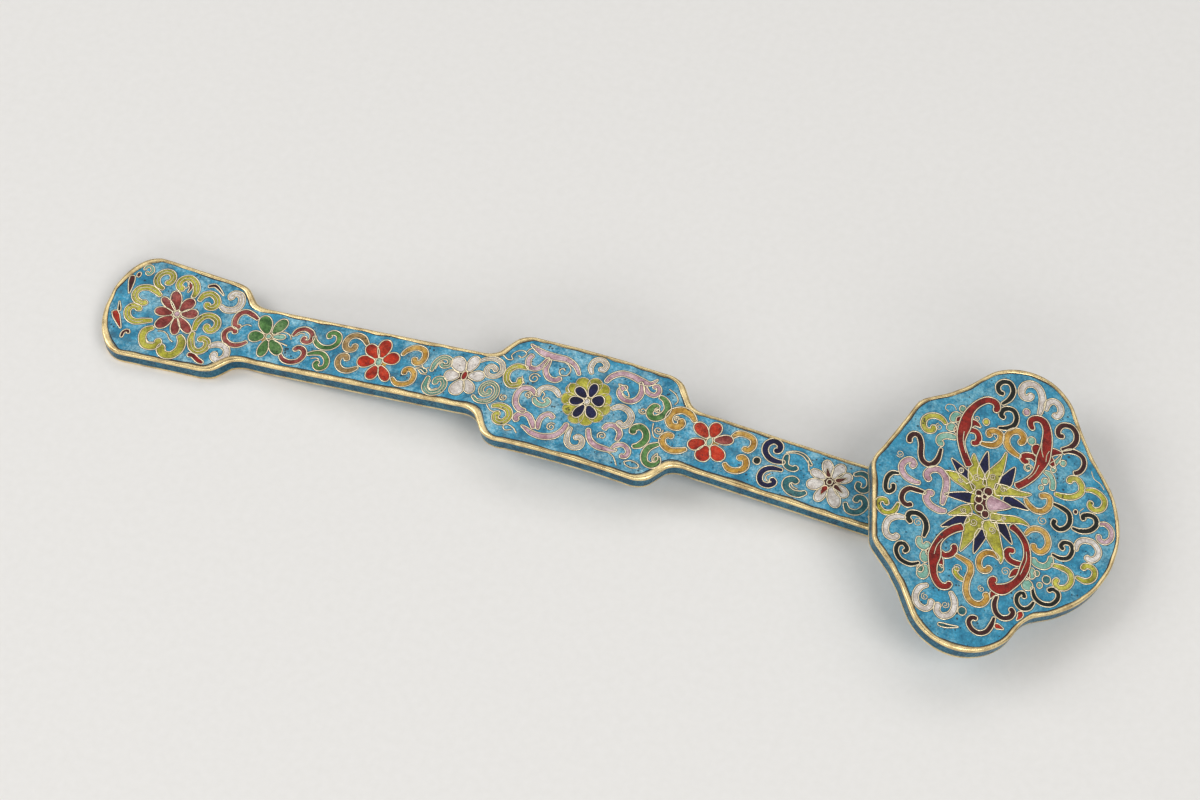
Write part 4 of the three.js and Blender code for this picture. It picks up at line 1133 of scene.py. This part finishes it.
for width, *points in (
        (2.2, (6.2, 44.6), (6.2, 48), (5.5, 51.9), (3.4, 55), (0.5, 55.8), (-1.9, 54.2), (-2.5, 51.4),
         (-1.1, 49.4), (1, 49.9), (1.2, 52)),
        (2, (8.1, 47.4), (7.9, 50), (8.8, 51.8), (10.4, 52.4), (12.5, 51.2), (13.3, 48.9), (12.4, 46.9),
         (10.8, 47.4)),
        (1.9, (33.2, -2), (33, 1), (34.6, 3.1), (38, 3.7), (40.8, 1.5), (40.8, -1.5), (38.9, -3.3),
         (36.9, -2.4)),
        (1.9, (-27.2, -15.4), (-30.3, -16.1), (-32.6, -18.6), (-32.8, -22), (-31.3, -24.5),
         (-28.8, -24.4), (-27.8, -22.5)),
        (1.9, (-12.3, -36.8), (-14.8, -39), (-15.4, -42.5), (-13.9, -45.3), (-11, -46), (-9.4, -44.2),
         (-9.8, -41.6)),
        (2, (-4.4, -36), (-2.2, -38.5), (-1.3, -41.5), (-2, -44.4), (-4.5, -46.2), (-6.8, -44.8),
         (-6.9, -41.8))):
    head.scroll("white", width, *points)
for width, *points in (
        (1.7, (-7.8, 42.9), (-5.6, 46.3), (-5.2, 50), (-7.2, 52.6), (-9.8, 52), (-11, 49.6),
         (-9.8, 47.4), (-7.9, 47.6)),
        (1.7, (-6.4, 33.2), (-3, 34.7), (-1.1, 37), (-1.1, 40), (-2.7, 42.2), (-5, 42.3), (-6.7, 40.7),
         (-6.6, 38.5), (-4.9, 38.2)),
        (1.7, (20.3, 12.5), (23.5, 12.3), (26.8, 11.2), (28.1, 8), (27.2, 5), (25, 3.6), (22.8, 4.7),
         (23, 6.9)),
        (1.7, (29.3, 6.2), (32.5, 6.2), (35.8, 7.9), (37.4, 11), (36.3, 13.4), (34, 13.7), (32, 12.3),
         (32.9, 10.8)),
        (1.5, (25.3, -6.8), (28.5, -7.2), (31.3, -5.8), (32, -2.5), (30.7, -0.3), (28.4, -0.6),
         (27.6, -2.5), (29.2, -3.4)),
        (1.5, (22.3, -22), (24, -25.4), (27, -26.8), (30.4, -25.8), (32, -23), (31.5, -20.6),
         (29.4, -19.9), (27.8, -21.4)),
        (1.5, (24.5, -27.2), (23.4, -30.4), (21, -31.6), (18.8, -30.2), (18.3, -27.5), (19.8, -25.8),
         (21, -27.6)),
        (1.5, (-34.2, 0.4), (-36.7, -0.4), (-37.9, -3), (-37.4, -6.8), (-36, -8.2), (-34.6, -6.4),
         (-35.3, -4.2)),
        (1.8, (-19.2, -20), (-19.2, -16), (-20.7, -13.2), (-23.5, -11.9), (-26.2, -12.8), (-26.5, -15),
         (-24.6, -16.4)),
        (1.5, (-17.6, -29.8), (-20.5, -31.8), (-24.4, -31.5), (-26.7, -29), (-26.7, -26.2),
         (-24.9, -25.2), (-23.2, -26.8), (-24.3, -28.4))):
    head.scroll("forest", width, *points)
for width, *points in (
        (1.8, (-23.2, 16.6), (-23.1, 12), (-24.2, 9.2), (-26, 8.2), (-28.2, 9), (-29.5, 11.4),
         (-30.4, 15), (-32.1, 17.7), (-34, 17.7), (-35, 15.8), (-34.4, 13.6)),
        (1.7, (-23.2, -3), (-26.5, -3.2), (-29.3, -3.7), (-30.9, -6), (-30.6, -9), (-28.5, -10.3),
         (-26.5, -9)),
        (1.8, (17.4, 34.6), (20.4, 37), (21.7, 40), (21, 43.2), (18.5, 45.1), (15.6, 44.4), (14.4, 42),
         (15.2, 39.8), (17.2, 40.4)),
        (1.6, (18.4, 33.4), (20.1, 35.1), (23, 35.8), (25.8, 34.8), (27, 32), (26.2, 28.9),
         (24.2, 27.2)),
        (1.7, (11.6, -30.4), (11.5, -34), (13, -37), (15.5, -38), (17.9, -36.8), (18.6, -34.5),
         (17, -33.2)),
        (1.6, (12.9, -38.8), (12.8, -42), (11.8, -45.3), (9.4, -47), (6.6, -46.5), (4.9, -44.4),
         (5.6, -42.3), (7.6, -42.2))):
    head.scroll("aubergine", width, *points)
head.spear("vermilion", 2.6, (20.4, -33.2), (21.4, -34.4), (20.6, -36.8))
head.spear("vermilion", 2.4, (13.8, -42), (15, -41.8), (17.2, -42))

for width, *points in (
        (2, (-26.2, 0), (-29, -0.4), (-32.4, 0.5), (-34.3, 3), (-33.9, 5.8), (-32, 7.4), (-30.5, 6.2),
         (-31.6, 4.6)),
        (2.3, (-14.4, -6.6), (-17, -7.4), (-20.6, -6.8), (-22.6, -4.8), (-22.3, -2.4), (-20.4, -2.4)),
        (2.2, (-16.6, -5), (-16.9, -1), (-17.3, 3), (-18.6, 6.2), (-21.5, 7.8), (-24.3, 6.6),
         (-25.1, 4), (-23.2, 2.2)),
        (1.6, (38.2, 11.6), (40.4, 12.6), (43, 11.2), (43.7, 8), (42, 5.6), (39.7, 6), (39.5, 7.8))):
    head.scroll("pink", width, *points)
for width, *points in (
        (1.9, (-24.2, 26.4), (-26, 27.8), (-28.5, 28.2), (-30.8, 27.1), (-32.1, 25), (-31.7, 22.5),
         (-30, 21.2), (-28.1, 22.2), (-28.4, 24.3)),
        (1.6, (-31.2, -10.6), (-32, -14.8), (-35, -16.4), (-37.7, -14.8), (-38, -12.6), (-36, -11.7),
         (-34.9, -13.4)),
        (2, (19.8, 16.6), (23, 16.8), (26.4, 18), (28.7, 20.8), (28.3, 23.8), (26, 25.6), (23.8, 24.7),
         (23.9, 22.7)),
        (1.8, (29.8, 22.6), (32.5, 23.7), (35.5, 23.2), (37.8, 21.3), (37.7, 18.2), (35.5, 16.4),
         (33.3, 17.2), (33.3, 19.4)),
        (1.8, (26.3, -11), (30, -10.5), (33.3, -11.2), (34.7, -14), (33.7, -17.2), (31, -18.4),
         (29.4, -16.9), (30.4, -15.2)),
        (1.8, (35.8, -11.8), (39.5, -12), (41.7, -9.9), (41.7, -7.1), (39.8, -5.8), (37.7, -6.4),
         (37.6, -8.2))):
    head.scroll("lime", width, *points)
head.scroll("mint", 2.2, (-19, 22.8), (-22.5, 22.3), (-24.7, 20.5), (-24.4, 18.4), (-22.8, 18.6))
head.petal("mint", 3.6, (-23.2, 28.4), (-20.6, 32.8))
head.petal("mint", 3.2, (-23.6, 24.8), (-20.8, 27.4))
head.scroll("mint", 2, (-20.6, -20.2), (-19.8, -23), (-17.6, -23.4), (-16.8, -21))
for width, base, tip in (
        (3, (-17.6, -24.6), (-15.8, -29)), (4, (-15.4, -29.6), (-15.6, -35.6)),
        (3.8, (19, -20), (21.6, -24)), (3, (20.4, -15), (20.8, -19.4))):
    head.petal("mint", width, base, tip)
head.scroll("mint", 2.1, (25.2, -7.8), (25.7, -10.5), (24, -12.8), (20.8, -12.8), (19.6, -11))
head.scroll("mint", 1.8, (14, 23.4), (16.4, 23), (18.2, 20.6), (18.8, 17.4))
head.spear("mint", 2, (15.4, 26.6), (17.2, 29), (18.2, 32.6))
for colour, radius, x, y in (
        ("mint", 1.5, 6.5, 33.4), ("pink", 1.3, 1.6, 43.8), ("lime", 1.2, -11, 33.6),
        ("russet", 0.8, 29, 12.8), ("teal", 1.4, -10.3, -29), ("teal", 1.5, 1.6, -41.4),
        ("teal", 1.5, 26.3, -17.3), ("teal", 1.3, 8, 22.4)):
    head.dot(colour, radius, x, y)
head.spear("teal", 1.6, (-5, -49.6), (-1.5, -49), (2, -47.8))
for colour, radius, x, y in (
        ("mint", 1.2, 15.4, 19.8), ("mint", 1, 17, 25.6), ("mint", 1.1, 19.6, 29.6),
        ("mint", 0.9, 14.8, 16.8), ("sage", 1.2, -20.4, 35), ("sage", 1, 22.4, -16.4),
        ("sage", 1.2, -16.8, -32), ("mint", 1, 24.6, -20.4)):
    head.dot(colour, radius, x, y)
head.gauge = FINE_WIRE
for x, y, radius, turn, hand in (
        (8.4, 22.4, 1.7, 0, 1), (-26.4, 24.4, 1.4, 2, 1), (18.8, 4.4, 1.9, 2, 1),
        (-22.6, -15.2, 1.7, 1, 1), (-4.6, -26.4, 1.6, 0, 1), (-12.2, -41.6, 1.4, 2, 1),
        (-4.6, -41.6, 1.4, 1, -1), (-14.6, 33.6, 1.3, 3, 1), (-36.4, 8, 1.5, 4, 1),
        (11.8, -20.4, 1.8, 0, 1), (5.6, -30.4, 1.3, 2, 1)):
    head.curl(x, y, radius, turn, hand)
for points in (
        ((-22.4, 33.6), (-24, 35), (-26, 34.4), (-26.4, 32.6), (-24.8, 31.8)),
        ((30.2, 30.8), (31.8, 28.4), (34.4, 27.4), (36.4, 25.6)),
        ((31.4, 15.4), (30.4, 13.6), (30.8, 12)), ((-6.8, 29.4), (-5.6, 28.4), (-6.6, 27.2))):
    head.hook(points)
head.lay(("lotus_wire", "lotus_heart_wire", "leaf_upper_base_wire", "leaf_upper_tip_wire",
          "leaf_lower_base_wire", "leaf_lower_tip_wire"),
         lime=("lotus_petals",), russet=("lotus_heart_petals",),
         red=("leaf_upper_base_enamel", "leaf_upper_tip_enamel", "leaf_lower_base_enamel",
              "leaf_lower_tip_enamel"))


# Backs: small cloud curls of bare wire hold the plain enamel

def on_handle_back(s, v, n):
    """The place n mm out of the handle's back."""
    return on_handle(s, v, BACK_FACE - n)


def on_head_back(u, v, n):
    """The place n mm out of the head's back."""
    return on_head(u, v, BACK_FACE - n)


def cloud_curl(drawing, x, y, turn):
    """Two wire hooks back to back, each a spiral that opens towards its end."""
    for hand in (1, -1):
        points = []
        centre = Vector((x, y)) + hand * CLOUD_ASIDE * Vector((math.sin(turn), -math.cos(turn)))
        for k in range(CLOUD_POINTS):
            angle = turn + hand * (CLOUD_START + CLOUD_TURN * k)
            radius = CLOUD_RADIUS - CLOUD_SHRINK * k
            points.append(centre + radius * Vector((math.cos(angle), math.sin(angle))))
        drawing.hook(points)


def curl_fits(spot, outline):
    """Whether a cloud curl stays clear of the rim."""
    return min((spot - p).length for p in outline) > CURL_REACH + RIM_WIDTH


handle_back = Drawing("handle_back", on_handle_back)
for row in range(BACK_ROWS):
    s = FIRST_ROW + ROW_PITCH * row
    reach = half_width(s) - CURL_REACH - RIM_WIDTH - CURL_GAP
    lanes = max(1, round(reach / LANE_WIDTH))
    for k in range(lanes):
        v = reach * ((2 * k + 1) / lanes - 1) if lanes > 1 else reach * (-1) ** row
        if curl_fits(Vector((s, v)), handle_outline):
            cloud_curl(handle_back, s, v, ROW_TURN * row + LANE_TURN * k)
handle_back.lay()

head_back_curls = Drawing("head_back", on_head_back)
for ring, count in HEAD_RINGS:
    for k in range(count):
        angle = 2 * math.pi * (k + 0.5) / count
        spot = Vector((ring * RING_SQUASH * math.cos(angle) + RING_SHIFT, ring * math.sin(angle)))
        if curl_fits(spot, head_outline) and abs(spot.x - COLLAR_U) + abs(spot.y) > COLLAR_REACH:
            cloud_curl(head_back_curls, spot.x, spot.y, angle * RING_TURN)
head_back_curls.lay()


# Floor, light and camera

bpy.ops.object.select_all(action="DESELECT")
bpy.ops.mesh.primitive_plane_add(size=FLOOR_SIZE)
floor = bpy.context.object
floor.name = "floor"
paper, tree, shader, place = new_material("matte_backdrop_paper")
tone = blend(tree, patches(tree, place, PAPER_FIBRE, 4), linear("#e2e0dc"), linear("#e9e7e4"))
tree.links.new(tone, shader.inputs["Base Color"])
shader.inputs["Roughness"].default_value = 0.95
shader.inputs["Specular IOR Level"].default_value = 0.1
floor.data.materials.append(paper)


def softbox(name, place, size, power):
    """A rectangular soft light aimed at the scepter."""
    data = bpy.data.lights.new(name, "AREA")
    data.shape = "RECTANGLE"
    data.size, data.size_y = size
    data.energy = power
    lamp = bpy.data.objects.new(name, data)
    scene.collection.objects.link(lamp)
    lamp.location = place
    lamp.rotation_euler = (-Vector(place)).to_track_quat("-Z", "Y").to_euler()


for name, (place, size, power) in LIGHTS.items():
    softbox(name, place, size, power)
world = bpy.data.worlds.new("studio")
world.use_nodes = True
world.node_tree.nodes["Background"].inputs["Color"].default_value = linear("#f2f2f2")
world.node_tree.nodes["Background"].inputs["Strength"].default_value = WORLD_LEVEL
scene.world = world
scene.view_settings.view_transform = "Standard"

camera_data = bpy.data.cameras.new("camera")
camera_data.lens = CAMERA_LENS
camera_data.sensor_width = SENSOR_WIDTH
camera = bpy.data.objects.new("camera", camera_data)
scene.collection.objects.link(camera)
aim = (CAMERA_AIM - CAMERA_PLACE).to_track_quat("-Z", "Y").to_matrix().to_4x4()
camera.matrix_world = Matrix.Translation(CAMERA_PLACE) @ aim @ Matrix.Rotation(CAMERA_ROLL, 4, "Z")
scene.camera = camera
